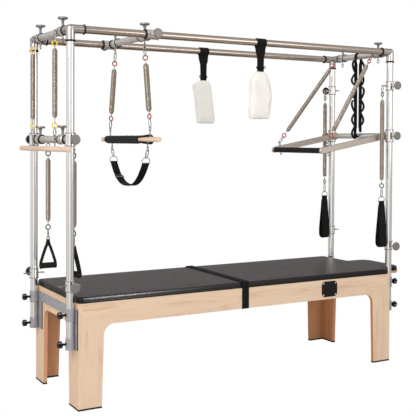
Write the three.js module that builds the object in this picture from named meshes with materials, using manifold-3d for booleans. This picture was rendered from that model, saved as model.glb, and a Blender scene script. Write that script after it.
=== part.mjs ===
// Pilates trapeze table: a maple table with a steel canopy, sliding crossbars, springs, bars, handles and loops.
// Millimetres, +Z up, X along the table, front side at -Y, origin on the floor under the middle of the object.
import * as THREE from 'three';
import { mergeVertices } from 'three/addons/utils/BufferGeometryUtils.js';
import Module from 'manifold-3d';

const wasm = await Module();
wasm.setup();

// Driving dimensions.
const tableLength = 2274;
const tableWidth = 754;
const woodTop = 603;
const canopyHeight = 2140;
const postOutset = 30;
const postInset = 52;
const tubeRadius = 22.25;
const wallThickness = 2.5;
const panelThickness = 23;
const slideClearance = 0.75;
const seatGap = 0.3;
const cutOverrun = 2;

const postX = tableLength / 2 + postOutset;
const postY = tableWidth / 2 - postInset;
const boreRadius = tubeRadius + slideClearance;
const tubeSides = 12;

const finish = (color, roughness, metalness) => new THREE.MeshStandardMaterial({ color, roughness, metalness });
const maple = finish(0xe4c8aa, 0.5, 0);
const vinyl = finish(0x35322f, 0.45, 0);
const steel = finish(0xd6d2cd, 0.2, 1);
const castGrey = finish(0xa5a09e, 0.5, 0.7);
const bracketGrey = finish(0x8c8e96, 0.55, 0.4);
const springSteel = finish(0x96877a, 0.35, 1);
const webbing = finish(0x141414, 0.85, 0);
const foam = finish(0x1c1c1c, 0.9, 0);
const fleece = finish(0xebe8e2, 1, 0);

const at = (x, y, z) => new THREE.Vector3(x, y, z);

// Solids: a closed three.js geometry becomes a solid that can be joined and cut.
function solid(geometry) {
  const bare = geometry.clone();
  bare.deleteAttribute('normal');
  bare.deleteAttribute('uv');
  const merged = mergeVertices(bare, 1e-4);
  return new wasm.Manifold(new wasm.Mesh({
    numProp: 3,
    vertProperties: new Float32Array(merged.attributes.position.array),
    triVerts: new Uint32Array(merged.index.array),
  }));
}

function joined(...solids) {
  return solids.flat().reduce((whole, piece) => whole.add(piece));
}

function cut(whole, ...tools) {
  return tools.flat().reduce((rest, tool) => rest.subtract(tool), whole);
}

function geometryOf(body) {
  const mesh = body.getMesh();
  const geometry = new THREE.BufferGeometry();
  geometry.setAttribute('position', new THREE.BufferAttribute(new Float32Array(mesh.vertProperties), 3));
  geometry.setIndex(new THREE.BufferAttribute(new Uint32Array(mesh.triVerts), 1));
  geometry.computeVertexNormals();
  return geometry;
}

// A round rod from one point to another, with a second radius for a cone.
function rod(from, to, radius, sides = tubeSides, endRadius = radius) {
  const along = to.clone().sub(from);
  const geometry = new THREE.CylinderGeometry(endRadius, radius, along.length(), sides);
  geometry.applyQuaternion(new THREE.Quaternion().setFromUnitVectors(at(0, 1, 0), along.normalize()));
  const middle = from.clone().add(to).multiplyScalar(0.5);
  return solid(geometry.translate(middle.x, middle.y, middle.z));
}

function pipe(from, to, outer, inner, sides = tubeSides) {
  const direction = to.clone().sub(from).normalize().multiplyScalar(cutOverrun);
  return cut(rod(from, to, outer, sides), rod(from.clone().sub(direction), to.clone().add(direction), inner, sides));
}

// A ring whose hole looks along the axis.
function ring(centre, axis, radius, wire, steps = 8, sides = 4) {
  const geometry = new THREE.TorusGeometry(radius, wire, sides, steps);
  geometry.applyQuaternion(new THREE.Quaternion().setFromUnitVectors(at(0, 0, 1), axis.clone().normalize()));
  return solid(geometry.translate(centre.x, centre.y, centre.z));
}

function block(low, high) {
  const size = high.clone().sub(low);
  const middle = low.clone().add(high).multiplyScalar(0.5);
  return solid(new THREE.BoxGeometry(size.x, size.y, size.z).translate(middle.x, middle.y, middle.z));
}

// An outline drawn in the named plane and pushed along its normal from one place to another.
function slab(shape, plane, from, to, curveSegments = 4) {
  const geometry = new THREE.ExtrudeGeometry(shape, { depth: to - from, bevelEnabled: false, curveSegments });
  geometry.translate(0, 0, from);
  if (plane === 'XZ') geometry.applyMatrix4(new THREE.Matrix4().makeBasis(at(1, 0, 0), at(0, 0, 1), at(0, -1, 0)));
  if (plane === 'YZ') geometry.applyMatrix4(new THREE.Matrix4().makeBasis(at(0, 1, 0), at(0, 0, 1), at(1, 0, 0)));
  return solid(geometry);
}

// A round tube through a list of points, with steady frames and flat ends.
function sweep(points, radius, sides) {
  const positions = [];
  const faces = [];
  const tangents = points.map((point, i) => {
    const next = points[Math.min(i + 1, points.length - 1)];
    const last = points[Math.max(i - 1, 0)];
    return next.clone().sub(last).normalize();
  });
  const start = Math.abs(tangents[0].x) < 0.9 ? at(1, 0, 0) : at(0, 1, 0);
  let normal = start.sub(tangents[0].clone().multiplyScalar(start.dot(tangents[0]))).normalize();
  points.forEach((point, i) => {
    const tangent = tangents[i];
    normal = normal.sub(tangent.clone().multiplyScalar(normal.dot(tangent))).normalize();
    const side = tangent.clone().cross(normal);
    for (let k = 0; k < sides; k++) {
      const turn = (2 * Math.PI * k) / sides;
      const spot = point.clone();
      spot.addScaledVector(normal, radius * Math.cos(turn)).addScaledVector(side, radius * Math.sin(turn));
      positions.push(spot.x, spot.y, spot.z);
    }
    normal = normal.clone();
  });
  for (let i = 0; i < points.length - 1; i++) {
    for (let k = 0; k < sides; k++) {
      const a = i * sides + k;
      const b = i * sides + ((k + 1) % sides);
      faces.push(a, b, b + sides, a, b + sides, a + sides);
    }
  }
  const last = (points.length - 1) * sides;
  for (let k = 1; k < sides - 1; k++) {
    faces.push(0, k + 1, k);
    faces.push(last, last + k, last + k + 1);
  }
  const geometry = new THREE.BufferGeometry();
  geometry.setAttribute('position', new THREE.BufferAttribute(new Float32Array(positions), 3));
  geometry.setIndex(faces);
  return solid(geometry);
}

// A closed ring of wire through a list of points in the XZ plane.
function hoop(points, radius, sides) {
  const positions = [];
  const faces = [];
  points.forEach((point, i) => {
    const next = points[(i + 1) % points.length];
    const last = points[(i + points.length - 1) % points.length];
    const out = next.clone().sub(last).cross(at(0, 1, 0)).normalize();
    for (let k = 0; k < sides; k++) {
      const turn = (2 * Math.PI * k) / sides;
      const spot = point.clone().addScaledVector(out, radius * Math.cos(turn)).add(at(0, radius * Math.sin(turn), 0));
      positions.push(spot.x, spot.y, spot.z);
      const a = i * sides + k;
      const b = i * sides + ((k + 1) % sides);
      const c = ((i + 1) % points.length) * sides + k;
      const d = ((i + 1) % points.length) * sides + ((k + 1) % sides);
      faces.push(a, c, b, b, c, d);
    }
  });
  const geometry = new THREE.BufferGeometry();
  geometry.setAttribute('position', new THREE.BufferAttribute(new Float32Array(positions), 3));
  geometry.setIndex(faces);
  return solid(geometry);
}

// A band of even thickness that follows a line of points in a plane, both edges offset from the line.
function bandShape(line, thickness) {
  const left = [];
  const right = [];
  line.forEach((point, i) => {
    const next = line[Math.min(i + 1, line.length - 1)];
    const last = line[Math.max(i - 1, 0)];
    const along = next.clone().sub(last).normalize();
    const across = new THREE.Vector2(-along.y, along.x).multiplyScalar(thickness / 2);
    left.push(point.clone().add(across));
    right.push(point.clone().sub(across));
  });
  return new THREE.Shape([...left, ...right.reverse()]);
}

const table = new THREE.Group();

function add(name, shape, material, x = 0, y = 0, z = 0, group = table) {
  const geometry = shape instanceof THREE.BufferGeometry ? shape : geometryOf(shape);
  const mesh = new THREE.Mesh(geometry, material);
  mesh.name = name;
  mesh.position.set(x, y, z);
  group.add(mesh);
  return mesh;
}

// Table: four arched maple panels; the end panels run across the ends of the side panels.
const arch = {
  railDepth: 128,
  cornerRadius: 62,
  sideFootWidth: 118,
  sideLegTop: 130,
  endFootWidth: 148,
  endLegTop: 160,
};

function archPanel(span, footWidth, legTop) {
  const half = span / 2;
  const underRail = woodTop - arch.railDepth;
  const spring = underRail - arch.cornerRadius;
  const inner = half - legTop;
  const shape = new THREE.Shape();
  shape.moveTo(-half, 0);
  shape.lineTo(-half + footWidth, 0);
  shape.lineTo(-inner, spring);
  shape.absarc(-inner + arch.cornerRadius, spring, arch.cornerRadius, Math.PI, Math.PI / 2, true);
  shape.absarc(inner - arch.cornerRadius, spring, arch.cornerRadius, Math.PI / 2, 0, true);
  shape.lineTo(half - footWidth, 0);
  shape.lineTo(half, 0);
  shape.lineTo(half, woodTop);
  shape.lineTo(-half, woodTop);
  return shape;
}

const sideSpan = tableLength - 2 * panelThickness;
const sideFace = tableWidth / 2;
const endFace = tableLength / 2;
const sidePanel = slab(archPanel(sideSpan, arch.sideFootWidth, arch.sideLegTop), 'XZ', 0, panelThickness);
const endPanel = slab(archPanel(tableWidth, arch.endFootWidth, arch.endLegTop), 'YZ', 0, panelThickness);
add('front_side_panel', sidePanel, maple, 0, -sideFace + panelThickness, 0);
add('rear_side_panel', sidePanel, maple, 0, sideFace, 0);
add('left_end_panel', endPanel, maple, -endFace, 0, 0);
add('right_end_panel', endPanel, maple, endFace - panelThickness, 0, 0);

const deck = { thickness: 18 };
const deckHalfLength = sideSpan / 2;
const deckHalfWidth = sideFace - panelThickness;
add('deck_board', block(at(-deckHalfLength, -deckHalfWidth, -deck.thickness), at(deckHalfLength, deckHalfWidth, 0)),
  maple, 0, 0, woodTop);

// Cushions: a grid box whose top is crowned, whose upper edge is rounded and whose sides draw in.
function cushion(length, width, thickness, form, lengthSteps, widthSteps) {
  const geometry = new THREE.BoxGeometry(length, width, thickness, lengthSteps, widthSteps, form.layers);
  const place = geometry.attributes.position;
  const spread = (value, half) => {
    const share = Math.abs(value) / half;
    return Math.sign(value) * half * Math.sin((share * Math.PI) / 2) ** form.edgeBiasShare;
  };
  for (let i = 0; i < place.count; i++) {
    let x = spread(place.getX(i), length / 2);
    let y = spread(place.getY(i), width / 2);
    const rise = place.getZ(i) / thickness + 0.5;
    const u = (2 * x) / length;
    const v = (2 * y) / width;
    const edgeX = Math.max(0, Math.abs(x) - length / 2 + form.corner);
    const edgeY = Math.max(0, Math.abs(y) - width / 2 + form.corner);
    const reach = Math.hypot(edgeX, edgeY);
    if (edgeX > 0 && edgeY > 0) {
      const pull = Math.max(edgeX, edgeY) / reach;
      x += Math.sign(x) * edgeX * (pull - 1);
      y += Math.sign(y) * edgeY * (pull - 1);
    }
    const drawn = form.drawnIn * Math.sin(Math.PI * rise);
    x -= Math.sign(x) * form.sideDraw * (1 - v * v) * Math.abs(u) ** 8;
    y -= Math.sign(y) * form.sideDraw * (1 - u * u) * Math.abs(v) ** 8;
    x += (x / (length / 2)) * (drawn - form.drawnIn);
    y += (y / (width / 2)) * (drawn - form.drawnIn);
    const brow = form.edgeDrop * Math.max(Math.abs(u) ** 30, Math.abs(v) ** 30);
    const crown = form.crown * (1 - u ** 4) * (1 - v ** 4);
    const z = rise * (thickness + crown - brow);
    place.setXYZ(i, x, y, z);
  }
  return mergeVertices(stripped(geometry), 1e-4);
}

function stripped(geometry) {
  geometry.deleteAttribute('normal');
  geometry.deleteAttribute('uv');
  return geometry;
}

const mattress = {
  thickness: 27,
  overEdge: 2,
  fromMiddle: -41,
  jointGap: 1,
  form: { layers: 3, edgeBiasShare: 0.8, corner: 22, drawnIn: 3, sideDraw: 2, edgeDrop: 7, crown: 4 },
};
const mattressZ = woodTop + seatGap;
const mattressWidth = tableWidth - 2 * mattress.overEdge;
const leftLow = -endFace + mattress.overEdge;
const leftHigh = mattress.fromMiddle - mattress.jointGap / 2;
const rightLow = mattress.fromMiddle + mattress.jointGap / 2;
const rightHigh = endFace - mattress.overEdge;
add('left_mattress', cushion(leftHigh - leftLow, mattressWidth, mattress.thickness, mattress.form, 8, 6),
  vinyl, (leftLow + leftHigh) / 2, 0, mattressZ);
add('right_mattress', cushion(rightHigh - rightLow, mattressWidth, mattress.thickness, mattress.form, 8, 6),
  vinyl, (rightLow + rightHigh) / 2, 0, mattressZ);

// Strap over the mattress joint: a webbing band that goes down both sides and turns in under the rails.
const strap = { width: 50, thickness: 2.5, tail: 20 };
const strapTop = mattress.thickness + mattress.form.crown + seatGap + woodTop - mattressZ + seatGap;
const strapLow = -arch.railDepth - seatGap;
const strapIn = sideFace + seatGap;
const strapOut = strapIn + strap.thickness;
const strapShape = new THREE.Shape([
  new THREE.Vector2(-strapIn + strap.tail, strapLow - strap.thickness),
  new THREE.Vector2(-strapOut, strapLow - strap.thickness),
  new THREE.Vector2(-strapOut, strapTop + strap.thickness),
  new THREE.Vector2(strapOut, strapTop + strap.thickness),
  new THREE.Vector2(strapOut, strapLow - strap.thickness),
  new THREE.Vector2(strapIn - strap.tail, strapLow - strap.thickness),
  new THREE.Vector2(strapIn - strap.tail, strapLow),
  new THREE.Vector2(strapIn, strapLow),
  new THREE.Vector2(strapIn, strapTop),
  new THREE.Vector2(-strapIn, strapTop),
  new THREE.Vector2(-strapIn, strapLow),
  new THREE.Vector2(-strapIn + strap.tail, strapLow),
]);
add('mattress_strap', slab(strapShape, 'YZ', -strap.width / 2, strap.width / 2), webbing, mattress.fromMiddle, 0, woodTop);

// Bare plate with rounded corners on the front rail.
const plate = { width: 126, height: 103, thickness: 3, corner: 14, fromEnd: 523, belowTop: 61 };

function roundedRectangle(width, height, corner) {
  const x = width / 2 - corner;
  const y = height / 2 - corner;
  const shape = new THREE.Shape();
  shape.absarc(x, y, corner, 0, Math.PI / 2, false);
  shape.absarc(-x, y, corner, Math.PI / 2, Math.PI, false);
  shape.absarc(-x, -y, corner, Math.PI, 1.5 * Math.PI, false);
  shape.absarc(x, -y, corner, 1.5 * Math.PI, 2 * Math.PI, false);
  return shape;
}

add('rail_plate', slab(roundedRectangle(plate.width, plate.height, plate.corner), 'XZ', 0, plate.thickness),
  webbing, endFace - plate.fromEnd, -sideFace, woodTop - plate.belowTop);

// Brackets: a welded plate on each end face that carries four split collars with star knobs.
const bracketDrop = { top: 33, upperCollar: 30, bottom: 261 };
const bracket = {
  plateThickness: 6,
  legInset: 77,
  sideInset: 5,
  top: woodTop - bracketDrop.top,
  barDepth: 55,
  bottom: woodTop - bracketDrop.bottom,
  collarRadius: 26,
  upperCollarTop: woodTop - bracketDrop.upperCollar,
  upperCollarHeight: 70,
  lowerCollarHeight: 65,
  knobReach: 60,
};
const starKnob = { radius: 20, lobeDepth: 4, lobes: 5, thickness: 22, stemRadius: 5 };

function starShape() {
  const shape = new THREE.Shape();
  const points = starKnob.lobes * 2;
  for (let i = 0; i < points; i++) {
    const turn = (2 * Math.PI * i) / points;
    const radius = starKnob.radius - starKnob.lobeDepth * (0.5 - 0.5 * Math.cos(starKnob.lobes * turn));
    const x = radius * Math.cos(turn);
    const y = radius * Math.sin(turn);
    if (i === 0) shape.moveTo(x, y);
    else shape.lineTo(x, y);
  }
  return shape;
}

function bracketBody() {
  const outerY = sideFace - bracket.sideInset;
  const innerY = postY - bracket.legInset;
  const shape = new THREE.Shape([
    new THREE.Vector2(-outerY, bracket.bottom),
    new THREE.Vector2(-innerY, bracket.bottom),
    new THREE.Vector2(-innerY, bracket.top - bracket.barDepth),
    new THREE.Vector2(innerY, bracket.top - bracket.barDepth),
    new THREE.Vector2(innerY, bracket.bottom),
    new THREE.Vector2(outerY, bracket.bottom),
    new THREE.Vector2(outerY, bracket.top),
    new THREE.Vector2(-outerY, bracket.top),
  ]);
  const wall = -bracket.plateThickness;
  const pieces = [slab(shape, 'YZ', wall, 0)];
  const axis = endFace - postX;
  const bores = [];
  for (const side of [-1, 1]) {
    const y = side * postY;
    const collars = [
      [bracket.upperCollarTop - bracket.upperCollarHeight, bracket.upperCollarTop],
      [bracket.bottom, bracket.bottom + bracket.lowerCollarHeight],
    ];
    for (const [low, high] of collars) {
      const middle = (low + high) / 2;
      pieces.push(rod(at(axis, y, low), at(axis, y, high), bracket.collarRadius));
      const neckEnd = axis - bracket.knobReach + starKnob.thickness / 2;
      pieces.push(rod(at(axis, y, middle), at(neckEnd - cutOverrun, y, middle), starKnob.stemRadius, 6));
      pieces.push(slab(starShape(), 'YZ', neckEnd - starKnob.thickness, neckEnd).translate([0, y, middle]));
    }
    bores.push(rod(at(axis, y, bracket.bottom - cutOverrun), at(axis, y, bracket.upperCollarTop + cutOverrun), boreRadius));
  }
  return cut(joined(pieces), bores);
}

const bracketSolid = bracketBody();
add('left_bracket', bracketSolid, bracketGrey, -endFace, 0, 0);
const rightBracket = add('right_bracket', bracketSolid, bracketGrey, endFace, 0, 0);
rightBracket.rotation.z = Math.PI;

// Extension leaf at the right end: a board on the bracket's top edge and a cushion on it.
const leaf = {
  width: 410,
  length: 268,
  boardThickness: 16,
  padThickness: 30,
  corner: 80,
  form: { layers: 3, edgeBiasShare: 0.8, corner: 80, drawnIn: 3, sideDraw: 3, edgeDrop: 8, crown: 4 },
};
const leafX = endFace + seatGap;
const leafZ = bracket.top + seatGap;

function leafShape() {
  const shape = new THREE.Shape();
  const half = leaf.width / 2;
  shape.moveTo(0, -half);
  shape.lineTo(leaf.length - leaf.corner, -half);
  shape.absarc(leaf.length - leaf.corner, -half + leaf.corner, leaf.corner, -Math.PI / 2, 0, false);
  shape.absarc(leaf.length - leaf.corner, half - leaf.corner, leaf.corner, 0, Math.PI / 2, false);
  shape.lineTo(0, half);
  return shape;
}

add('extension_board', slab(leafShape(), 'XY', 0, leaf.boardThickness), maple, leafX, 0, leafZ);
add('extension_pad', cushion(leaf.length, leaf.width, leaf.padThickness, leaf.form, 6, 6),
  vinyl, leafX + leaf.length / 2, 0, leafZ + leaf.boardThickness + seatGap);

// Canopy: posts stand in the bracket collars, corner castings join them to the long tubes and the end bars.
const corner = {
  radius: 25,
  armX: 74,
  armY: 83,
  armZ: 62,
  coreHalf: 24,
};
const ends = [
  ['front_left', -1, -1],
  ['rear_left', -1, 1],
  ['front_right', 1, -1],
  ['rear_right', 1, 1],
];
const tubeStart = corner.coreHalf + seatGap;
const postLow = bracket.bottom + bracket.plateThickness;
const post = pipe(at(0, 0, postLow), at(0, 0, canopyHeight - tubeStart), tubeRadius, tubeRadius - wallThickness);

function cornerCasting(sideX, sideY) {
  const centre = at(0, 0, 0);
  const arms = [at(-sideX * corner.armX, 0, 0), at(0, -sideY * corner.armY, 0), at(0, 0, -corner.armZ)];
  const caps = [at(sideX * corner.radius, 0, 0), at(0, sideY * corner.radius, 0), at(0, 0, corner.radius)];
  const bodies = arms.map((arm, i) => rod(caps[i].clone().multiplyScalar(corner.coreHalf / (2 * corner.radius)), arm,
    corner.radius));
  const bores = arms.map((arm) => {
    const way = arm.clone().normalize();
    return rod(way.clone().multiplyScalar(corner.coreHalf), arm.clone().addScaledVector(way, cutOverrun), boreRadius);
  });
  const ball = solid(new THREE.SphereGeometry(corner.radius, 12, 6).translate(centre.x, centre.y, centre.z));
  return cut(joined(ball, bodies), bores);
}

for (const [name, sideX, sideY] of ends) {
  add(`${name}_post`, post, steel, sideX * postX, sideY * postY, 0);
  add(`${name}_elbow`, cornerCasting(sideX, sideY), steel, sideX * postX, sideY * postY, canopyHeight);
}
const canopyHalf = postX - tubeStart;
const canopyTube = pipe(at(-canopyHalf, 0, 0), at(canopyHalf, 0, 0), tubeRadius, tubeRadius - wallThickness);
add('front_canopy_tube', canopyTube, steel, 0, -postY, canopyHeight);
add('rear_canopy_tube', canopyTube, steel, 0, postY, canopyHeight);

// Hand screws: a disc knob on a tapered neck that starts inside its sleeve.
const knob = { radius: 29, thickness: 15, neckRadius: 7, neckEndRadius: 11, sides: 12 };

function discKnob(from, way, reach) {
  const face = from.clone().addScaledVector(way, reach);
  const back = face.clone().addScaledVector(way, -knob.thickness);
  return [
    rod(from, back.clone().addScaledVector(way, cutOverrun), knob.neckRadius, 6, knob.neckEndRadius),
    rod(back, face, knob.radius, knob.sides),
  ];
}

// Eyes: a wire ring on a stem. The reach is measured to the wire on the far side, where a hook hangs.
const eye = { radius: 11, wire: 2.5, stemRadius: 4 };

function eyeBolt(from, way, reach, holeAxis) {
  const centre = from.clone().addScaledVector(way, reach - eye.radius);
  const stemEnd = from.clone().addScaledVector(way, reach - 2 * eye.radius);
  return [
    rod(from, stemEnd, eye.stemRadius, 4),
    ring(centre, holeAxis, eye.radius, eye.wire),
  ];
}

// Crossbars: a tube with a grey sleeve at each end, and in each sleeve a knob on top and eyes.
// Places along them are measured inward from the posts, and hung pieces down from the canopy or up from the wood.
const fromPost = { sleeveInner: 160, endFitting: 125, carriageFitting: 103, sleeveOuter: 86, pushArm: 41, carriage: 503 };
const belowCanopy = { highCollar: 234, pushBar: 581, trapeze: 615, leftBar: 618, rollDown: 673 };
const aboveWood = { rearLeftCollar: 82, frontLeftCollar: 97, frontLowCollar: 192, rearLowCollar: 240 };
const sleeve = {
  radius: 28,
  inner: postY - fromPost.sleeveInner,
  outer: postY - fromPost.sleeveOuter,
  knobReach: 80,
};
const hookReach = { down: 65, outward: 47 };
const alongX = at(1, 0, 0);
const alongY = at(0, 1, 0);
const alongZ = at(0, 0, 1);
const toLeft = at(-1, 0, 0);
const down = at(0, 0, -1);

function crossTube(halfLength, fittingY, outwardEyes) {
  const pieces = [rod(at(0, -halfLength, 0), at(0, halfLength, 0), tubeRadius)];
  for (const side of [-1, 1]) {
    pieces.push(rod(at(0, side * sleeve.inner, 0), at(0, side * sleeve.outer, 0), sleeve.radius));
    pieces.push(discKnob(at(0, side * fittingY, 0), alongZ, sleeve.knobReach));
    pieces.push(eyeBolt(at(0, side * fittingY, 0), down, hookReach.down, alongX));
    if (outwardEyes) pieces.push(eyeBolt(at(0, side * fittingY, 0), toLeft, hookReach.outward, alongZ));
  }
  return pieces.flat();
}

const endBar = { fittingY: postY - fromPost.endFitting };
const endBarHalf = postY - corner.coreHalf - seatGap;
const endBarSolid = joined(crossTube(endBarHalf, endBar.fittingY, true));
add('left_end_bar', endBarSolid, castGrey, -postX, 0, canopyHeight);
add('right_end_bar', endBarSolid, castGrey, postX, 0, canopyHeight);

// Trapeze carriage: a crossbar with a sliding sleeve and a lock knob on each canopy tube.
const carriage = {
  x: fromPost.carriage - postX,
  fittingY: postY - fromPost.carriageFitting,
  runnerRadius: 30,
  runnerLength: 80,
};
const lockKnob = { reach: 87 };

function carriageBody() {
  const pieces = crossTube(postY, carriage.fittingY, false);
  const bores = [];
  const half = carriage.runnerLength / 2;
  for (const side of [-1, 1]) {
    const y = side * postY;
    pieces.push(rod(at(-half, y, 0), at(half, y, 0), carriage.runnerRadius));
    pieces.push(...discKnob(at(0, y, 0), at(0, side, 0), lockKnob.reach));
    bores.push(rod(at(-half - cutOverrun, y, 0), at(half + cutOverrun, y, 0), boreRadius));
  }
  return cut(joined(pieces), bores);
}

add('trapeze_carriage', carriageBody(), castGrey, carriage.x, 0, canopyHeight);

// Left crossbar: its runners slide on the left posts; handle springs hang from it.
const leftBar = {
  z: canopyHeight - belowCanopy.leftBar,
  runnerRadius: 30,
  runnerHeight: 78,
  handleEyeY: 55,
  cornerEyeReach: 54.5,
  cornerEyeTurn: 47.23,
  cornerEyeRoot: 15,
  cornerEyeInset: 5,
  cornerEyeDrop: 54.5,
};
const cornerEyeWay = alongX.clone().applyAxisAngle(alongZ, (leftBar.cornerEyeTurn * Math.PI) / 180);
const cornerPlace = (reach, drop) => cornerEyeWay.clone().multiplyScalar(reach).add(at(0, -postY, -drop));

function postRunner(y, radius, height) {
  return rod(at(0, y, -height / 2), at(0, y, height / 2), radius);
}

function postBore(y, height) {
  return rod(at(0, y, -height / 2 - cutOverrun), at(0, y, height / 2 + cutOverrun), boreRadius);
}

function leftCrossbar() {
  const pieces = [rod(at(0, -postY, 0), at(0, postY, 0), tubeRadius)];
  const bores = [];
  for (const side of [-1, 1]) {
    const y = side * postY;
    pieces.push(rod(at(0, side * sleeve.inner, 0), at(0, side * sleeve.outer, 0), sleeve.radius));
    pieces.push(discKnob(at(0, side * endBar.fittingY, 0), alongZ, sleeve.knobReach));
    pieces.push(postRunner(y, leftBar.runnerRadius, leftBar.runnerHeight));
    pieces.push(discKnob(at(0, y, 0), at(0, side, 0), lockKnob.reach));
    bores.push(postBore(y, leftBar.runnerHeight));
  }
  pieces.push(eyeBolt(at(0, leftBar.handleEyeY, 0), down, hookReach.outward, alongY));
  const cornerRoot = cornerPlace(leftBar.runnerRadius - leftBar.cornerEyeInset, leftBar.cornerEyeRoot);
  const stemEnd = cornerPlace(leftBar.cornerEyeReach - 2 * eye.radius, leftBar.cornerEyeDrop);
  const ringCentre = cornerPlace(leftBar.cornerEyeReach - eye.radius, leftBar.cornerEyeDrop);
  pieces.push(rod(cornerRoot, stemEnd, eye.stemRadius, 4), ring(ringCentre, alongZ, eye.radius, eye.wire));
  return cut(joined(pieces.flat()), bores);
}

add('left_crossbar', leftCrossbar(), castGrey, -postX, 0, leftBar.z);

// Push-through bar: a crossbar between the right posts, and a U frame that swings on it.
const pushBar = {
  z: canopyHeight - belowCanopy.pushBar,
  tubeRadius: 19.5,
  runnerRadius: 30,
  runnerHeight: 88,
  armY: postY - fromPost.pushArm,
  armThickness: 18,
  armDepth: 42,
  gripReach: 553,
  gripDrop: 103,
  eyeReach: 502,
  hubRadius: 28,
  gripCore: 12,
  gripRadius: 19,
  gripInset: 16,
};

function pushCrossbar() {
  const pieces = [rod(at(0, -postY, 0), at(0, postY, 0), pushBar.tubeRadius)];
  const bores = [];
  for (const side of [-1, 1]) {
    const y = side * postY;
    pieces.push(postRunner(y, pushBar.runnerRadius, pushBar.runnerHeight));
    pieces.push(discKnob(at(0, y, 0), at(0, side, 0), lockKnob.reach));
    bores.push(postBore(y, pushBar.runnerHeight));
  }
  return cut(joined(pieces.flat()), bores);
}

add('push_bar_crossbar', pushCrossbar(), steel, postX, 0, pushBar.z);

const armRun = pushBar.gripReach;
const armFall = pushBar.gripDrop;
const armLength = Math.hypot(armRun, armFall);
const armSlope = Math.atan2(armFall, armRun);
const eyeAlong = pushBar.eyeReach / Math.cos(armSlope);

// The frame lies along -X in its own axes, with the crossbar's axis at its origin.
function pushFrame() {
  const half = pushBar.armDepth / 2;
  const pieces = [];
  const bores = [];
  for (const side of [-1, 1]) {
    const inner = side * pushBar.armY - pushBar.armThickness / 2;
    const shape = new THREE.Shape();
    shape.moveTo(0, -half);
    shape.lineTo(0, half);
    shape.lineTo(-armLength, half);
    shape.absarc(-armLength, 0, half, Math.PI / 2, 1.5 * Math.PI, false);
    pieces.push(slab(shape, 'XZ', -inner - pushBar.armThickness, -inner));
    const hubLow = at(0, inner, 0);
    const hubHigh = at(0, inner + pushBar.armThickness, 0);
    pieces.push(rod(hubLow, hubHigh, pushBar.hubRadius));
    bores.push(rod(at(0, inner - cutOverrun, 0), at(0, inner + pushBar.armThickness + cutOverrun, 0),
      pushBar.tubeRadius + slideClearance));
    const root = at(-eyeAlong, side * pushBar.armY, 0);
    pieces.push(eyeBolt(root, alongZ, half + 2 * eye.radius + eye.wire, alongX));
    pieces.push(eyeBolt(root, down, half + 2 * eye.radius + eye.wire, alongX));
  }
  pieces.push(rod(at(-armLength, -pushBar.armY, 0), at(-armLength, pushBar.armY, 0), pushBar.gripCore, 12));
  return cut(joined(pieces.flat()), bores);
}

const pushGroup = new THREE.Group();
pushGroup.position.set(postX, 0, pushBar.z);
pushGroup.rotation.y = -armSlope;
table.add(pushGroup);
add('push_bar_frame', pushFrame(), steel, 0, 0, 0, pushGroup);
const gripHalf = pushBar.armY - pushBar.gripInset;
const gripLow = at(0, -gripHalf, 0);
const gripHigh = at(0, gripHalf, 0);
add('push_bar_grip', pipe(gripLow, gripHigh, pushBar.gripRadius, pushBar.gripCore + slideClearance),
  foam, -armLength, 0, 0, pushGroup);

// Post collars: sliding rings with a lock knob on the outer side and horizontal eyes.
const collar = { radius: 28, height: 64 };
const collars = [
  ['front_left_collar', -1, -1, woodTop + aboveWood.frontLeftCollar, true, true],
  ['rear_left_collar', -1, 1, woodTop + aboveWood.rearLeftCollar, true, true],
  ['front_right_low_collar', 1, -1, woodTop + aboveWood.frontLowCollar, false, false],
  ['rear_right_low_collar', 1, 1, woodTop + aboveWood.rearLowCollar, false, true],
  ['front_right_high_collar', 1, -1, canopyHeight - belowCanopy.highCollar, true, true],
  ['rear_right_high_collar', 1, 1, canopyHeight - belowCanopy.highCollar, true, true],
];
const collarEyeReach = 66;

function postCollar(sideY, leftEye, rightEye) {
  const pieces = [postRunner(0, collar.radius, collar.height), discKnob(at(0, 0, 0), at(0, sideY, 0), lockKnob.reach)];
  if (leftEye) pieces.push(eyeBolt(at(0, 0, 0), toLeft, collarEyeReach, alongZ));
  if (rightEye) pieces.push(eyeBolt(at(0, 0, 0), alongX, collarEyeReach, alongZ));
  return cut(joined(pieces.flat()), postBore(0, collar.height));
}

for (const [name, sideX, sideY, z, leftEye, rightEye] of collars) {
  add(name, postCollar(sideY, leftEye, rightEye), castGrey, sideX * postX, sideY * postY, z);
}

// Springs: one coiled wire with a coloured end ring and a snap hook at each end, hanging down from its upper eye.
const spring = {
  coilRadius: 11.5,
  wire: 2.4,
  ringRadius: 14,
  ringWire: 2.6,
  hookRadius: 8.5,
  hookWire: 2,
  hookGap: 0.35,
  stemRadius: 2.4,
};
const curlSteps = 8;
const hookCentre = spring.hookRadius - spring.hookWire - spring.hookGap - eye.wire;
let leastGap = Infinity;

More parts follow.
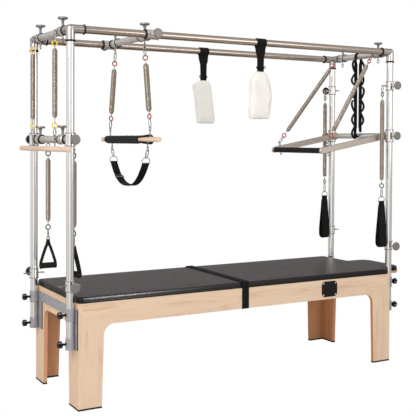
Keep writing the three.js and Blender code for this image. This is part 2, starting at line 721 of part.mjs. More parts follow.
function springSolid(length, upperRing, coilTop, coilBottom, lowerRing, curls, hookAxis, lowerHook = true) {
  const straight = 2 * spring.wire;
  const points = [at(0, 0, -upperRing - spring.ringRadius), at(0, 0, -coilTop)];
  const steps = curls * curlSteps;
  const coilRise = coilBottom - coilTop - 2 * straight;
  for (let i = 0; i <= steps; i++) {
    const turn = (2 * Math.PI * i) / curlSteps;
    const open = Math.min(1, (2 * i) / curlSteps, (2 * (steps - i)) / curlSteps);
    const radius = spring.coilRadius * open;
    const z = -coilTop - straight - (coilRise * i) / steps;
    points.push(at(radius * Math.cos(turn), radius * Math.sin(turn), z));
  }
  points.push(at(0, 0, -coilBottom), at(0, 0, -lowerRing + spring.ringRadius));
  leastGap = Math.min(leastGap, coilRise / curls - 2 * spring.wire);
  const lowAxis = lowerHook ? hookAxis : at(hookAxis.y, hookAxis.x, 0);
  const pieces = [
    sweep(points, spring.wire, 5),
    ring(at(0, 0, -upperRing), hookAxis, spring.ringRadius, spring.ringWire, 8, 3),
    ring(at(0, 0, -lowerRing), lowAxis, spring.ringRadius, spring.ringWire, 8, 3),
    ring(at(0, 0, -hookCentre), hookAxis, spring.hookRadius, spring.hookWire, 8, 3),
    rod(at(0, 0, -hookCentre - spring.hookRadius), at(0, 0, -upperRing + spring.ringRadius), spring.stemRadius, 4),
  ];
  if (lowerHook) {
    const low = -length + hookCentre;
    pieces.push(ring(at(0, 0, low), hookAxis, spring.hookRadius, spring.hookWire, 8, 3));
    pieces.push(rod(at(0, 0, -lowerRing - spring.ringRadius), at(0, 0, low + spring.hookRadius), spring.stemRadius, 4));
  }
  return joined(pieces);
}

// Hangs a spring between two eyes, at the wires that its hooks go round. Its places are how far the ring and the
// coil's end lie from the upper eye, and how far the coil's end and the ring lie from the lower one.
function hangSpring(name, upper, lower, places, curls, hookAxis, lowerHook) {
  const along = lower.clone().sub(upper);
  const [upperRing, coilTop, coilFromEnd, ringFromEnd] = places;
  const length = along.length();
  const body = springSolid(length, upperRing, coilTop, length - coilFromEnd, length - ringFromEnd, curls, hookAxis,
    lowerHook);
  const mesh = add(name, body, springSteel, upper.x, upper.y, upper.z);
  mesh.quaternion.setFromUnitVectors(down, along.normalize());
  return mesh;
}

// Roll-down bar: a maple dowel on two springs from the outward eyes of the left end bar.
const dowelRadius = 15;
const rollDown = { half: 437, z: canopyHeight - belowCanopy.rollDown, eyeRise: 79, places: [73, 99, 98, 55] };
const rollDownX = -postX - hookReach.outward;

function dowel(half, radius, sides = 14) {
  return rod(at(0, -half, 0), at(0, half, 0), radius, sides);
}

function rollDownBody() {
  const pieces = [dowel(rollDown.half, dowelRadius)];
  for (const side of [-1, 1]) {
    pieces.push(eyeBolt(at(0, side * endBar.fittingY, 0), alongZ, rollDown.eyeRise, alongX));
  }
  return joined(pieces.flat());
}

add('roll_down_bar', rollDownBody(), maple, rollDownX, 0, rollDown.z);
for (const [name, side] of [['front_roll_down_spring', -1], ['rear_roll_down_spring', 1]]) {
  hangSpring(name, at(rollDownX, side * endBar.fittingY, canopyHeight),
    at(rollDownX, side * endBar.fittingY, rollDown.z + rollDown.eyeRise),
    rollDown.places, 3, alongY);
}

// Trapeze: a dowel with a foam cover on two splayed springs, and a webbing sling under it.
const trapezeHalf = 429;
const fromTrapezeEnd = { springEye: 128, slingEye: 159, slingRing: 186, coverFront: 139, coverRear: 77 };
const trapeze = {
  z: canopyHeight - belowCanopy.trapeze,
  springY: trapezeHalf - fromTrapezeEnd.springEye,
  eyeRise: 75,
  slingY: trapezeHalf - fromTrapezeEnd.slingEye,
  eyeDrop: 69,
  coverLow: fromTrapezeEnd.coverFront - trapezeHalf,
  coverHigh: trapezeHalf - fromTrapezeEnd.coverRear,
  coverRadius: 24,
  places: [63, 98, 91, 61],
};

function trapezeBody() {
  const pieces = [dowel(trapezeHalf, dowelRadius)];
  for (const side of [-1, 1]) {
    pieces.push(eyeBolt(at(0, side * trapeze.springY, 0), alongZ, trapeze.eyeRise, alongX));
    pieces.push(eyeBolt(at(0, side * trapeze.slingY, 0), down, trapeze.eyeDrop, alongX));
  }
  return joined(pieces.flat());
}

function trapezeCover() {
  const tube = pipe(at(0, trapeze.coverLow, 0), at(0, trapeze.coverHigh, 0), trapeze.coverRadius,
    dowelRadius + slideClearance, 16);
  const slot = eye.stemRadius + slideClearance;
  const tall = trapeze.coverRadius + cutOverrun;
  const slots = [];
  for (const side of [-1, 1]) {
    slots.push(block(at(-slot, side * trapeze.springY - slot, 0), at(slot, side * trapeze.springY + slot, tall)));
    slots.push(block(at(-slot, side * trapeze.slingY - slot, -tall), at(slot, side * trapeze.slingY + slot, 0)));
  }
  return cut(tube, slots);
}

add('trapeze_bar', trapezeBody(), maple, carriage.x, 0, trapeze.z);
add('trapeze_cover', trapezeCover(), foam, carriage.x, 0, trapeze.z);
for (const [name, side] of [['front_trapeze_spring', -1], ['rear_trapeze_spring', 1]]) {
  const upper = at(carriage.x, side * carriage.fittingY, canopyHeight - hookReach.down);
  const lower = at(carriage.x, side * trapeze.springY, trapeze.z + trapeze.eyeRise);
  hangSpring(name, upper, lower, trapeze.places, 3, alongY);
}

const sling = {
  width: 48,
  thickness: 4,
  topY: trapezeHalf - fromTrapezeEnd.slingRing,
  topDrop: 74,
  depth: 233,
  steps: 10,
  tab: 5,
  ringRadius: 16,
  hookStem: 3,
};
const slingZ = trapeze.z - trapeze.eyeDrop;

function slingBody() {
  const line = [];
  for (let i = 0; i <= sling.steps; i++) {
    const share = (2 * i) / sling.steps - 1;
    const drop = sling.depth - (sling.depth - sling.topDrop) * share * share;
    line.push(new THREE.Vector2(sling.topY * share, -drop));
  }
  line.unshift(new THREE.Vector2(-sling.topY - sling.tab, -sling.topDrop + sling.tab));
  line.push(new THREE.Vector2(sling.topY + sling.tab, -sling.topDrop + sling.tab));
  const pieces = [slab(bandShape(line, sling.thickness), 'YZ', -sling.width / 2, sling.width / 2)];
  for (const side of [-1, 1]) {
    const hook = at(0, side * trapeze.slingY, -hookCentre);
    const dRing = at(0, side * sling.topY, -sling.topDrop + sling.ringRadius);
    pieces.push(ring(hook, alongY, spring.hookRadius, spring.hookWire, 8, 3));
    pieces.push(rod(hook.clone().addScaledVector(down, spring.hookRadius),
      dRing.clone().addScaledVector(alongZ, sling.ringRadius), sling.hookStem, 6));
    pieces.push(ring(dRing, alongY, sling.ringRadius, spring.ringWire));
  }
  return joined(pieces);
}

add('sling', slingBody(), webbing, carriage.x, 0, slingZ);

// Handles: webbing legs from a ring down to a foam grip, each on its own spring under the left crossbar.
const springShortfall = { handle: 384, foot: 768 };
const handle = {
  springLength: leftBar.z - woodTop - springShortfall.handle,
  places: [36, 66, 91, 57],
  ringRadius: 9,
  height: 172,
  gripHalf: 47,
  gripEnd: 6,
  gripRadius: 17.5,
  strapWidth: 28,
  strapThickness: 4,
  cornerShare: 3,
};

// The handle hangs down from the wire of its ring, where the hook goes through.
function handleBody() {
  const wire = at(0, 0, -handle.ringRadius);
  const apex = -2 * handle.ringRadius + handle.strapThickness;
  const gripZ = -handle.height;
  const outline = [[0, apex], [-handle.gripHalf, gripZ], [handle.gripHalf, gripZ]];
  const inner = handle.strapThickness * handle.cornerShare;
  const hole = [[0, apex - inner], [-handle.gripHalf + inner, gripZ + inner], [handle.gripHalf - inner, gripZ + inner]];
  const shape = new THREE.Shape(outline.map(([x, y]) => new THREE.Vector2(x, y)));
  shape.holes.push(new THREE.Path(hole.map(([x, y]) => new THREE.Vector2(x, y))));
  const reach = handle.gripHalf + handle.gripEnd;
  return joined(
    ring(wire, alongY, handle.ringRadius, eye.wire),
    slab(shape, 'XZ', -handle.strapWidth / 2, handle.strapWidth / 2),
    rod(at(-reach, 0, gripZ), at(reach, 0, gripZ), handle.gripRadius, 12),
  );
}

const rearHandleEye = at(-postX, leftBar.handleEyeY, leftBar.z - hookReach.outward);
const cornerEye = cornerEyeWay.clone().multiplyScalar(leftBar.cornerEyeReach);
const frontHandleEye = at(-postX + cornerEye.x, -postY + cornerEye.y, leftBar.z - leftBar.cornerEyeDrop);
const cornerHookAxis = at(cornerEyeWay.y, -cornerEyeWay.x, 0);
for (const [name, top, axis] of [['rear', rearHandleEye, alongX], ['front', frontHandleEye, cornerHookAxis]]) {
  const low = top.clone().addScaledVector(down, handle.springLength);
  hangSpring(`${name}_handle_spring`, top, low, handle.places, 3, axis);
  const mesh = add(`${name}_handle`, handleBody(), webbing, low.x, low.y, low.z);
  mesh.quaternion.setFromUnitVectors(alongX, axis);
}

// Push-bar springs: from the inward eyes of the right end bar to long links round the upper eyes of the frame.
const pushSpring = { places: [70, 104, 100, 62] };
const link = { radius: 10, wire: 2.2, gap: 0.5, lowGap: 3.5, steps: 4, sides: 5 };
const frameEye = at(-eyeAlong, 0, pushBar.armDepth / 2 + 2 * eye.radius + eye.wire);
frameEye.applyAxisAngle(alongY, -armSlope).add(at(postX, 0, pushBar.z));

// An oval of wire in the XZ plane: it hangs from the ring's wire and goes round the eye's wire.
function linkBody(topWire, lowWire) {
  const top = -topWire + spring.ringWire + link.wire + link.gap - link.radius;
  const low = -lowWire - eye.wire - link.wire - link.lowGap + link.radius;
  const round = (centre, start) => {
    const points = [];
    for (let i = 0; i <= link.steps; i++) {
      const turn = start + (Math.PI * i) / link.steps;
      points.push(at(link.radius * Math.cos(turn), 0, centre + link.radius * Math.sin(turn)));
    }
    return points;
  };
  const points = [...round(top, 0), ...round(low, Math.PI)];
  return hoop(points, link.wire, link.sides);
}

for (const [name, side] of [['front', -1], ['rear', 1]]) {
  const upper = at(postX - hookReach.outward, side * endBar.fittingY, canopyHeight);
  const lower = at(frameEye.x, side * pushBar.armY, frameEye.z);
  const length = lower.distanceTo(upper);
  const lowerRing = length - pushSpring.places[3];
  const mesh = hangSpring(`${name}_push_spring`, upper, lower, pushSpring.places, 3, alongY, false);
  const hook = add(`${name}_push_link`, linkBody(lowerRing + spring.ringRadius, length), springSteel, upper.x, upper.y,
    upper.z);
  hook.quaternion.copy(mesh.quaternion);
}

// Foot loops: a padded webbing loop, wider at the foot, on a long spring from each high right collar.
const foot = {
  springLength: canopyHeight - woodTop - springShortfall.foot,
  places: [59, 97, 113, 75],
  ringRadius: 12,
  top: 20,
  height: 352,
  topWidth: 46,
  footWidth: 68,
  thickness: 6,
  gapHalf: 20,
  splitShare: 0.42,
  steps: 5,
};

function footLoopBody() {
  const split = foot.top + (foot.height - foot.top) * foot.splitShare;
  const low = foot.height - foot.gapHalf - foot.thickness;
  const reach = foot.gapHalf + foot.thickness;
  const outer = new THREE.Shape();
  outer.moveTo(-foot.thickness, -foot.top);
  outer.lineTo(-foot.thickness, -split);
  outer.lineTo(-reach, -low);
  outer.absarc(0, -low, reach, Math.PI, 2 * Math.PI, false);
  outer.lineTo(foot.thickness, -split);
  outer.lineTo(foot.thickness, -foot.top);
  const hole = new THREE.Path();
  hole.moveTo(0, -split);
  hole.lineTo(foot.gapHalf, -low);
  hole.absarc(0, -low, foot.gapHalf, 0, -Math.PI, true);
  outer.holes.push(hole);
  const side = new THREE.Shape([
    new THREE.Vector2(-foot.topWidth / 2, 0),
    new THREE.Vector2(-foot.footWidth / 2, -low),
    new THREE.Vector2(-foot.footWidth / 2, -foot.height - cutOverrun),
    new THREE.Vector2(foot.footWidth / 2, -foot.height - cutOverrun),
    new THREE.Vector2(foot.footWidth / 2, -low),
    new THREE.Vector2(foot.topWidth / 2, 0),
  ]);
  const band = slab(outer, 'YZ', -foot.footWidth / 2, foot.footWidth / 2, foot.steps);
  return joined(
    band.intersect(slab(side, 'XZ', -reach - cutOverrun, reach + cutOverrun)),
    ring(at(0, 0, -foot.ringRadius), alongX, foot.ringRadius, eye.wire),
  );
}

for (const [name, side] of [['front', -1], ['rear', 1]]) {
  const top = at(postX - collarEyeReach, side * postY, collars[4][3]);
  const low = top.clone().addScaledVector(down, foot.springLength);
  hangSpring(`${name}_foot_spring`, top, low, foot.places, 4, alongY);
  add(`${name}_foot_loop`, footLoopBody(), webbing, low.x, low.y, low.z);
}

// Fleece cuffs: a webbing loop round the canopy tube and a folded fleece pad that a wrist or ankle goes through.
const cuff = {
  strapWidth: 38,
  strapThickness: 4,
  strapDrop: 205,
  padTopDrop: 192,
  padHeight: 292,
  padWidth: 170,
  padThickness: 38,
  slotThickness: 9,
  slotInset: 40,
  bevel: 6,
  neckRadii: 2.6,
};

function cuffBody() {
  const radius = tubeRadius + slideClearance + cuff.strapThickness / 2;
  const neck = cuff.neckRadii * radius;
  const start = Math.asin(radius / neck);
  const line = [new THREE.Vector2(0, -cuff.strapDrop), new THREE.Vector2(0, -neck - cuff.strapThickness)];
  const outer = new THREE.Shape();
  const reach = radius + cuff.strapThickness / 2;
  outer.moveTo(-cuff.strapThickness / 2, -cuff.strapDrop);
  outer.lineTo(cuff.strapThickness / 2, -cuff.strapDrop);
  outer.lineTo(cuff.strapThickness / 2, -neck - cuff.strapThickness);
  outer.absarc(0, 0, reach, -start, Math.PI + start, false);
  outer.lineTo(-cuff.strapThickness / 2, -neck - cuff.strapThickness);
  const hole = new THREE.Path();
  const inside = tubeRadius + slideClearance;
  hole.moveTo(0, -neck);
  hole.lineTo(-inside * Math.cos(start), -inside * Math.sin(start));
  hole.absarc(0, 0, inside, Math.PI + start, -start, true);
  outer.holes.push(hole);
  const pad = roundedRectangle(cuff.padThickness - 2 * cuff.bevel, cuff.padHeight - 2 * cuff.bevel,
    cuff.padThickness / 2 - cuff.bevel - seatGap);
  const slotHeight = cuff.padHeight - 2 * cuff.slotInset;
  pad.holes.push(new THREE.Path(roundedRectangle(cuff.slotThickness + 2 * cuff.bevel, slotHeight + 2 * cuff.bevel,
    cuff.slotThickness / 2).getPoints(3).reverse()));
  const padGeometry = new THREE.ExtrudeGeometry(pad, {
    depth: cuff.padWidth - 2 * cuff.bevel,
    bevelThickness: cuff.bevel,
    bevelSize: cuff.bevel,
    bevelSegments: 1,
    curveSegments: 2,
  });
  padGeometry.translate(0, 0, -cuff.padWidth / 2 + cuff.bevel);
  padGeometry.applyMatrix4(new THREE.Matrix4().makeBasis(alongY, alongZ, alongX));
  padGeometry.translate(0, 0, -cuff.padTopDrop - cuff.padHeight / 2);
  return joined(slab(outer, 'YZ', -cuff.strapWidth / 2, cuff.strapWidth / 2, 5), solid(padGeometry));
}

const cuffSolid = cuffBody();
add('front_fleece_cuff', cuffSolid, fleece, 92, -postY, canopyHeight);
add('rear_fleece_cuff', cuffSolid, fleece, 40, postY, canopyHeight);

// Loop strap: webbing hung over the right end bar, with hand loops sewn to the outside of both ends.
const loops = {
  y: 19,
  width: 28,
  thickness: 4,
  pitch: 97,
  bulge: 26,
  leftCount: 6,
  rightCount: 5,
  first: 22,
  tail: 47,
};

function loopStrapBody() {
  const inner = tubeRadius + slideClearance;
  const outer = inner + loops.thickness;
  const steps = 4;
  const leftLow = -loops.first - loops.leftCount * loops.pitch;
  const rightLow = -loops.first - loops.rightCount * loops.pitch - loops.tail;
  const shape = new THREE.Shape();
  const holes = [];
  const edge = [];
  const side = (sign, count) => {
    for (let i = 0; i < count; i++) {
      const top = -loops.first - i * loops.pitch;
      const hole = [];
      for (let k = 0; k <= steps; k++) {
        const swell = Math.sin((Math.PI * k) / steps);
        edge.push([sign * (outer + loops.bulge * swell), top - (loops.pitch * k) / steps, sign]);
        const near = outer + loops.bulge * swell - loops.thickness;
        if (near > outer) hole.push(new THREE.Vector2(sign * near, top - (loops.pitch * k) / steps));
      }
      const low = hole[hole.length - 1].y;
      hole.push(new THREE.Vector2(sign * (outer + seatGap), low), new THREE.Vector2(sign * (outer + seatGap), hole[0].y));
      holes.push(new THREE.Path(hole));
    }
  };
  side(-1, loops.leftCount);
  side(1, loops.rightCount);
  const left = edge.filter((point) => point[2] < 0);
  const right = edge.filter((point) => point[2] > 0).reverse();
  shape.moveTo(-inner, leftLow);
  shape.lineTo(-inner, 0);
  shape.absarc(0, 0, inner, Math.PI, 0, true);
  shape.lineTo(inner, rightLow);
  shape.lineTo(outer, rightLow);
  right.forEach(([x, y]) => shape.lineTo(x, y));
  shape.lineTo(outer, 0);
  shape.absarc(0, 0, outer, 0, Math.PI, false);
  left.forEach(([x, y]) => shape.lineTo(x, y));
  shape.lineTo(-outer, leftLow - seatGap);
  shape.lineTo(-inner, leftLow - seatGap);
  shape.holes.push(...holes);
  return slab(shape, 'XZ', -loops.width / 2, loops.width / 2, 5);
}

add('loop_strap', loopStrapBody(), webbing, postX, loops.y, canopyHeight);

// The origin goes under the middle of the whole object.
const bounds = new THREE.Box3().setFromObject(table);
table.position.x = -(bounds.min.x + bounds.max.x) / 2;

console.log(`middle of the object along X: ${-table.position.x} mm from the middle of the table`);
console.log(`least gap between the curls of a spring: ${leastGap.toFixed(1)} mm`);

export default table;
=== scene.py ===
import bpy
import bmesh
import math
import random
from mathutils import Matrix, Vector


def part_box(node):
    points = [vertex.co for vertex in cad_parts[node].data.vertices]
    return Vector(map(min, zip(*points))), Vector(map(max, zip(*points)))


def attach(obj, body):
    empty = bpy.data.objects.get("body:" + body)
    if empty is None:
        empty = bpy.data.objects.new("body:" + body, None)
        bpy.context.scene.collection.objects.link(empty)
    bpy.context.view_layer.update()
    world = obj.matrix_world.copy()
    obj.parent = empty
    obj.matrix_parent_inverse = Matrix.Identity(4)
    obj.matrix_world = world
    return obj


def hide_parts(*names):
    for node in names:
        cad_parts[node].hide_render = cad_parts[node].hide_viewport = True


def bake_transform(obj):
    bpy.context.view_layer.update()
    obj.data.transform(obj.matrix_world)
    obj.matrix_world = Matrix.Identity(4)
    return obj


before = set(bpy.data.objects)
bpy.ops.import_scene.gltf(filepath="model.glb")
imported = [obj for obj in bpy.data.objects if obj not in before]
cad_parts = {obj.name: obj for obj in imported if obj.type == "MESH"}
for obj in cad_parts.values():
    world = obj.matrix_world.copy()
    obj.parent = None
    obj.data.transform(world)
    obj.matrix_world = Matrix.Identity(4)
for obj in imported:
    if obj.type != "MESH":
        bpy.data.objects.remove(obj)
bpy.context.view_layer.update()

# Camera and studio. The camera stands off the front left corner of the table, a little above its middle.
# Its place is given from the bed's middle and the floor. White shows all round; metal mirrors grey bands.
bed_low, bed_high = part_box("deck_board")
bed_middle = (bed_low[0] + bed_high[0]) / 2
camera_stand = (-2.80886, -4.81660, 1.51961)
camera_turn, camera_tilt, camera_roll = -0.526664, -0.0212144, 0.0049353
lens_data = bpy.data.cameras.new("camera")
lens_data.lens, lens_data.sensor_width = 72.889, 36.0
lens_data.shift_x, lens_data.shift_y = -0.0294, -0.1189
camera = bpy.data.objects.new("camera", lens_data)
camera.matrix_world = (Matrix.Translation(Vector(camera_stand) + Vector((bed_middle, 0, 0)))
                       @ Matrix.Rotation(camera_turn, 4, "Z")
                       @ Matrix.Rotation(math.pi / 2 + camera_tilt, 4, "X")
                       @ Matrix.Rotation(camera_roll, 4, "Z"))
scene = bpy.context.scene
scene.collection.objects.link(camera)
scene.camera = camera
scene.view_settings.view_transform = "Standard"


def paint(red, green, blue):
    """A colour as a painter reads it off a chart, from 0 to 255, turned into the renderer's light values."""
    shares = [value / 255 for value in (red, green, blue)]
    return tuple(s / 12.92 if s <= 0.04045 else ((s + 0.055) / 1.055) ** 2.4 for s in shares) + (1.0,)


def node(tree, kind, inputs=(), **settings):
    """Adds a shader node, with its settings, and fills or links its inputs."""
    made = tree.nodes.new("ShaderNode" + kind)
    for name, value in settings.items():
        setattr(made, name, value)
    for name, value in dict(inputs).items():
        if isinstance(value, bpy.types.NodeSocket):
            tree.links.new(value, made.inputs[name])
        else:
            made.inputs[name].default_value = value
    return made


def reckon(tree, operation, *values):
    return node(tree, "Math", dict(enumerate(values)), operation=operation).outputs[0]


def reckon_ways(tree, operation, first, second, outlet="Vector"):
    return node(tree, "VectorMath", {0: first, 1: second}, operation=operation).outputs[outlet]


def spread(tree, value, low, high, new_low=0.0, new_high=1.0):
    """Maps one range of values onto another."""
    return node(tree, "MapRange", {"Value": value, "From Min": low, "From Max": high, "To Min": new_low,
                                   "To Max": new_high}).outputs[0]


def ramp(tree, source, stops):
    """A colour ramp over a value, from stops of place and colour."""
    made = node(tree, "ValToRGB", {"Fac": source})
    while len(made.color_ramp.elements) < len(stops):
        made.color_ramp.elements.new(0.5)
    for element, (place, colour) in zip(made.color_ramp.elements, stops):
        element.position, element.color = place, colour
    return made.outputs["Color"]


def grey_bands(tree, value, places, tones):
    """Bands of grey over a direction's share, from -1 to 1."""
    stops = [(place, (tone, tone, tone, 1.0)) for place, tone in zip(places, tones)]
    return ramp(tree, spread(tree, value, -1.0, 1.0), stops)


def mix_colour(tree, share, first, second, blend="MIX"):
    return node(tree, "Mix", {"Factor": share, 6: first, 7: second}, data_type="RGBA",
                blend_type=blend).outputs[2]


def mix_light(tree, share, first, second):
    return node(tree, "MixShader", {0: share, 1: first.outputs[0], 2: second.outputs[0]})


def area_light(name, place, aim, size, power):
    lamp = bpy.data.lights.new(name, "AREA")
    lamp.shape, lamp.size, lamp.energy = "DISK", size, power
    holder = bpy.data.objects.new(name, lamp)
    holder.location = place
    holder.rotation_euler = (Vector(aim) - Vector(place)).to_track_quat("-Z", "Y").to_euler()
    scene.collection.objects.link(holder)
    return holder


area_light("key_light", (-4.8, -3.2, 4.2), (0.0, 0.0, 0.8), 3.4, 205.0)
area_light("front_light", (2.4, -5.2, 2.6), (0.2, 0.0, 0.9), 3.0, 48.0)
edge_light = area_light("edge_light", (-0.46, -1.50, 1.34), (-1.01, -0.35, 0.58), 0.34, 44.0)
edge_light.visible_diffuse = edge_light.visible_camera = False
edge_lit = bpy.data.collections.new("lit_by_edge_light")
edge_light.light_linking.receiver_collection = edge_lit

world = bpy.data.worlds.new("studio")
world.use_nodes = True
scene.world = world
sky = world.node_tree
sky.nodes.clear()
away_from_camera, to_the_right = (0.503, 0.864, 0.0), (0.864, -0.503, 0.0)
sky_way = node(sky, "TexCoord").outputs["Generated"]
onward = reckon_ways(sky, "DOT_PRODUCT", sky_way, away_from_camera, "Value")
level_bands = grey_bands(sky, onward, (0.0, 0.035, 0.08, 0.24, 0.36, 0.50, 0.62, 0.74, 0.84, 0.94, 1.0),
                         (1.0, 0.72, 0.56, 0.56, 0.66, 0.72, 0.5, 0.4, 0.36, 0.34, 0.26))
upward = node(sky, "SeparateXYZ", {0: sky_way}).outputs["Z"]
tall_bands = grey_bands(sky, upward, (0.0, 0.36, 0.46, 0.55, 0.68, 0.80, 1.0),
                        (0.72, 0.72, 0.86, 1.0, 0.96, 0.84, 0.84))
rightward = reckon_ways(sky, "DOT_PRODUCT", sky_way, to_the_right, "Value")
left_glow = spread(sky, rightward, -0.5, 0.5, 1.6, 1.13)
soft_box = node(sky, "Background", {"Color": (1.0, 0.985, 0.965, 1.0), "Strength": 0.64})
gloss_box = node(sky, "Background", {"Color": reckon_ways(sky, "MULTIPLY", level_bands, tall_bands),
                                     "Strength": left_glow})
white_wall = node(sky, "Background", {"Color": (1.0, 1.0, 1.0, 1.0), "Strength": 1.0})
sky_ray = node(sky, "LightPath").outputs
lit = mix_light(sky, sky_ray["Is Glossy Ray"], soft_box, gloss_box)
node(sky, "OutputWorld", {"Surface": mix_light(sky, sky_ray["Is Camera Ray"], lit, white_wall).outputs[0]})

floor_reach = 30.0
floor_mesh = bpy.data.meshes.new("studio_floor")
floor_mesh.from_pydata([(x * floor_reach, y * floor_reach, 0.0)
                        for x, y in ((-1, -1), (1, -1), (1, 1), (-1, 1))], [], [(0, 1, 2, 3)])
studio_floor = bpy.data.objects.new("studio_floor", floor_mesh)
scene.collection.objects.link(studio_floor)
floor_paint = bpy.data.materials.new("white_floor")
floor_paint.use_nodes = True
tree = floor_paint.node_tree
tree.nodes.clear()
floor_ray = node(tree, "LightPath").outputs
floor_tone = mix_colour(tree, floor_ray["Is Glossy Ray"], (0.8, 0.79, 0.78, 1.0), (0.55, 0.49, 0.44, 1.0))
matt_floor = node(tree, "BsdfDiffuse", {"Color": floor_tone})
clear_floor = node(tree, "BsdfTransparent", {"Color": (0.96, 0.95, 0.94, 1.0)})
white_floor = node(tree, "Emission", {"Color": (1.0, 1.0, 1.0, 1.0), "Strength": 1.0})
off_middle = node(tree, "VectorMath", {0: node(tree, "NewGeometry").outputs["Position"]}, operation="LENGTH")
far_off = spread(tree, off_middle.outputs["Value"], 1.6, 3.4)
far_gloss = reckon(tree, "MULTIPLY", far_off, floor_ray["Is Glossy Ray"])
bounced = mix_light(tree, far_gloss, matt_floor, clear_floor)
floor_light = mix_light(tree, floor_ray["Is Camera Ray"], bounced, white_floor)
node(tree, "OutputMaterial", {"Surface": floor_light.outputs[0]})
floor_mesh.materials.append(floor_paint)


# Wooden bed: two long arched rails, two arched end panels and a deck board, of clear lacquered maple.
# They stay as packed, with eased edges and grain along each board, and get thin black soles.
def finish(name, colour, roughness, metallic=0.0, **more):
    """A shader with its plain settings; the rest of each finish is built on it."""
    made = bpy.data.materials.new(name)
    made.use_nodes = True
    shader = made.node_tree.nodes["Principled BSDF"]
    settings = {"Base Color": colour, "Roughness": roughness, "Metallic": metallic, **more}
    for socket, value in settings.items():
        shader.inputs[socket.replace("_", " ")].default_value = value
    return made, made.node_tree, shader


def noise(tree, scale, detail=2.0, place=None, **more):
    inputs = {"Scale": scale, "Detail": detail, **more}
    if place:
        inputs["Vector"] = place
    return node(tree, "TexNoise", inputs).outputs["Fac"]


def rough_skin(tree, shader, height, distance, strength):
    """Turns a height into small relief in the shading."""
    bump = node(tree, "Bump", {"Height": height, "Distance": distance, "Strength": strength})
    tree.links.new(bump.outputs["Normal"], shader.inputs["Normal"])


def vary_gloss(tree, shader, source, low, high):
    """Lets the roughness wander between two values."""
    tree.links.new(spread(tree, source, 0.0, 1.0, low, high), shader.inputs["Roughness"])


def grained(name, colour, low_gloss, high_gloss, scale, detail=2.0, metal=0.0, relief=None, patches=None,
            placed=False, **more):
    """A finish whose gloss and relief follow a fine noise. Patches: scale, detail and stops of tone."""
    made, tree, shader = finish(name, colour, (low_gloss + high_gloss) / 2, metal, **more)
    place = node(tree, "TexCoord").outputs["Object"] if placed else None
    grain = noise(tree, scale, detail, place)
    vary_gloss(tree, shader, grain, low_gloss, high_gloss)
    if relief:
        rough_skin(tree, shader, grain, *relief)
    if patches:
        patch_scale, patch_detail, *stops = patches
        tone = ramp(tree, noise(tree, patch_scale, patch_detail, place), stops)
        tree.links.new(tone, shader.inputs["Base Color"])
    return made


def maple(name, along, pale, middle, dark, cross_tint=None, painted_inner_shade=None, legs_below=None):
    """Maple with faint figure along one axis, upright in the legs. Cross faces are tinted; faces turned in
    towards the bed's middle get painted shade.
    """
    made, tree, shader = finish(name, pale, 0.42, Coat_Weight=0.12, Coat_Roughness=0.3)
    coordinates = node(tree, "TexCoord").outputs
    place, facing = coordinates["Object"], coordinates["Normal"]

    def figure_along(grain_axis):
        broad, fine = [node(tree, "Mapping", {"Vector": place, "Scale": [slow if axis == grain_axis else quick
                                                                         for axis in "XYZ"]}).outputs[0]
                       for slow, quick in ((1.3, 15.0), (9.0, 420.0))]
        return noise(tree, 1.5, 6.0, broad, Distortion=1.3), noise(tree, 1.0, 3.0, fine)

    rings, pores = figure_along(along)
    if legs_below:
        height = node(tree, "SeparateXYZ", {0: place}).outputs["Z"]
        in_leg = spread(tree, height, legs_below + 0.05, legs_below - 0.05)
        rings, pores = [node(tree, "Mix", {"Factor": in_leg, 2: rail, 3: leg}).outputs[0]
                        for rail, leg in zip((rings, pores), figure_along("Z"))]
    figure = ramp(tree, rings, [(0.34, dark), (0.44, middle), (0.58, pale)])
    streaks = ramp(tree, pores, [(0.3, (0.93, 0.91, 0.89, 1.0)), (0.6, (1.0, 1.0, 1.0, 1.0))])
    colour = mix_colour(tree, 0.6, figure, streaks, "MULTIPLY")
    if cross_tint:
        facing_x = node(tree, "SeparateXYZ", {0: facing}).outputs["X"]
        cross_face = reckon(tree, "GREATER_THAN", reckon(tree, "ABSOLUTE", facing_x), 0.7)
        colour = mix_colour(tree, cross_face, colour, cross_tint, "MULTIPLY")
    # Faces turned in towards the bed's middle are darkened and warmed: painted shade.
    if painted_inner_shade:
        outward = reckon_ways(tree, "SUBTRACT", place, (bed_middle, 0.0, 0.0))
        level_out = reckon_ways(tree, "MULTIPLY", outward, (1.0, 1.0, 0.0))
        turned_out = reckon_ways(tree, "DOT_PRODUCT", level_out, facing, "Value")
        inside = reckon(tree, "LESS_THAN", turned_out, -0.05)
        colour = mix_colour(tree, inside, colour, painted_inner_shade, "MULTIPLY")
    tree.links.new(colour, shader.inputs["Base Color"])
    vary_gloss(tree, shader, pores, 0.36, 0.52)
    rough_skin(tree, shader, pores, 0.0004, 0.25)
    return made


leg_top = 0.475
maple_tones = (paint(228, 201, 174), paint(224, 195, 167), paint(214, 178, 147))
inner_shade = (0.88, 0.62, 0.45, 1.0)
rail_maple = maple("maple_rails", "X", *maple_tones, (0.86, 0.70, 0.58, 1.0), inner_shade, leg_top)
end_maple = maple("maple_ends", "Y", *maple_tones, (1.0, 0.95, 0.92, 1.0), inner_shade, leg_top)


def dress(name, material, ease_width=0.0, segments=3):
    """Gives a packed board or plate its finish, and rounds its sharp edges."""
    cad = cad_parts[name]
    cad.data.materials.clear()
    cad.data.materials.append(material)
    if ease_width:
        ease = cad.modifiers.new("eased_edges", "BEVEL")
        ease.width, ease.segments, ease.limit_method = ease_width, segments, "ANGLE"
        ease.angle_limit = math.radians(30)
        ease.harden_normals = False


for board, board_maple in (("front_side_panel", rail_maple), ("rear_side_panel", rail_maple),
                           ("left_end_panel", end_maple), ("right_end_panel", end_maple)):
    dress(board, board_maple, 0.0015)
dress("deck_board", rail_maple)


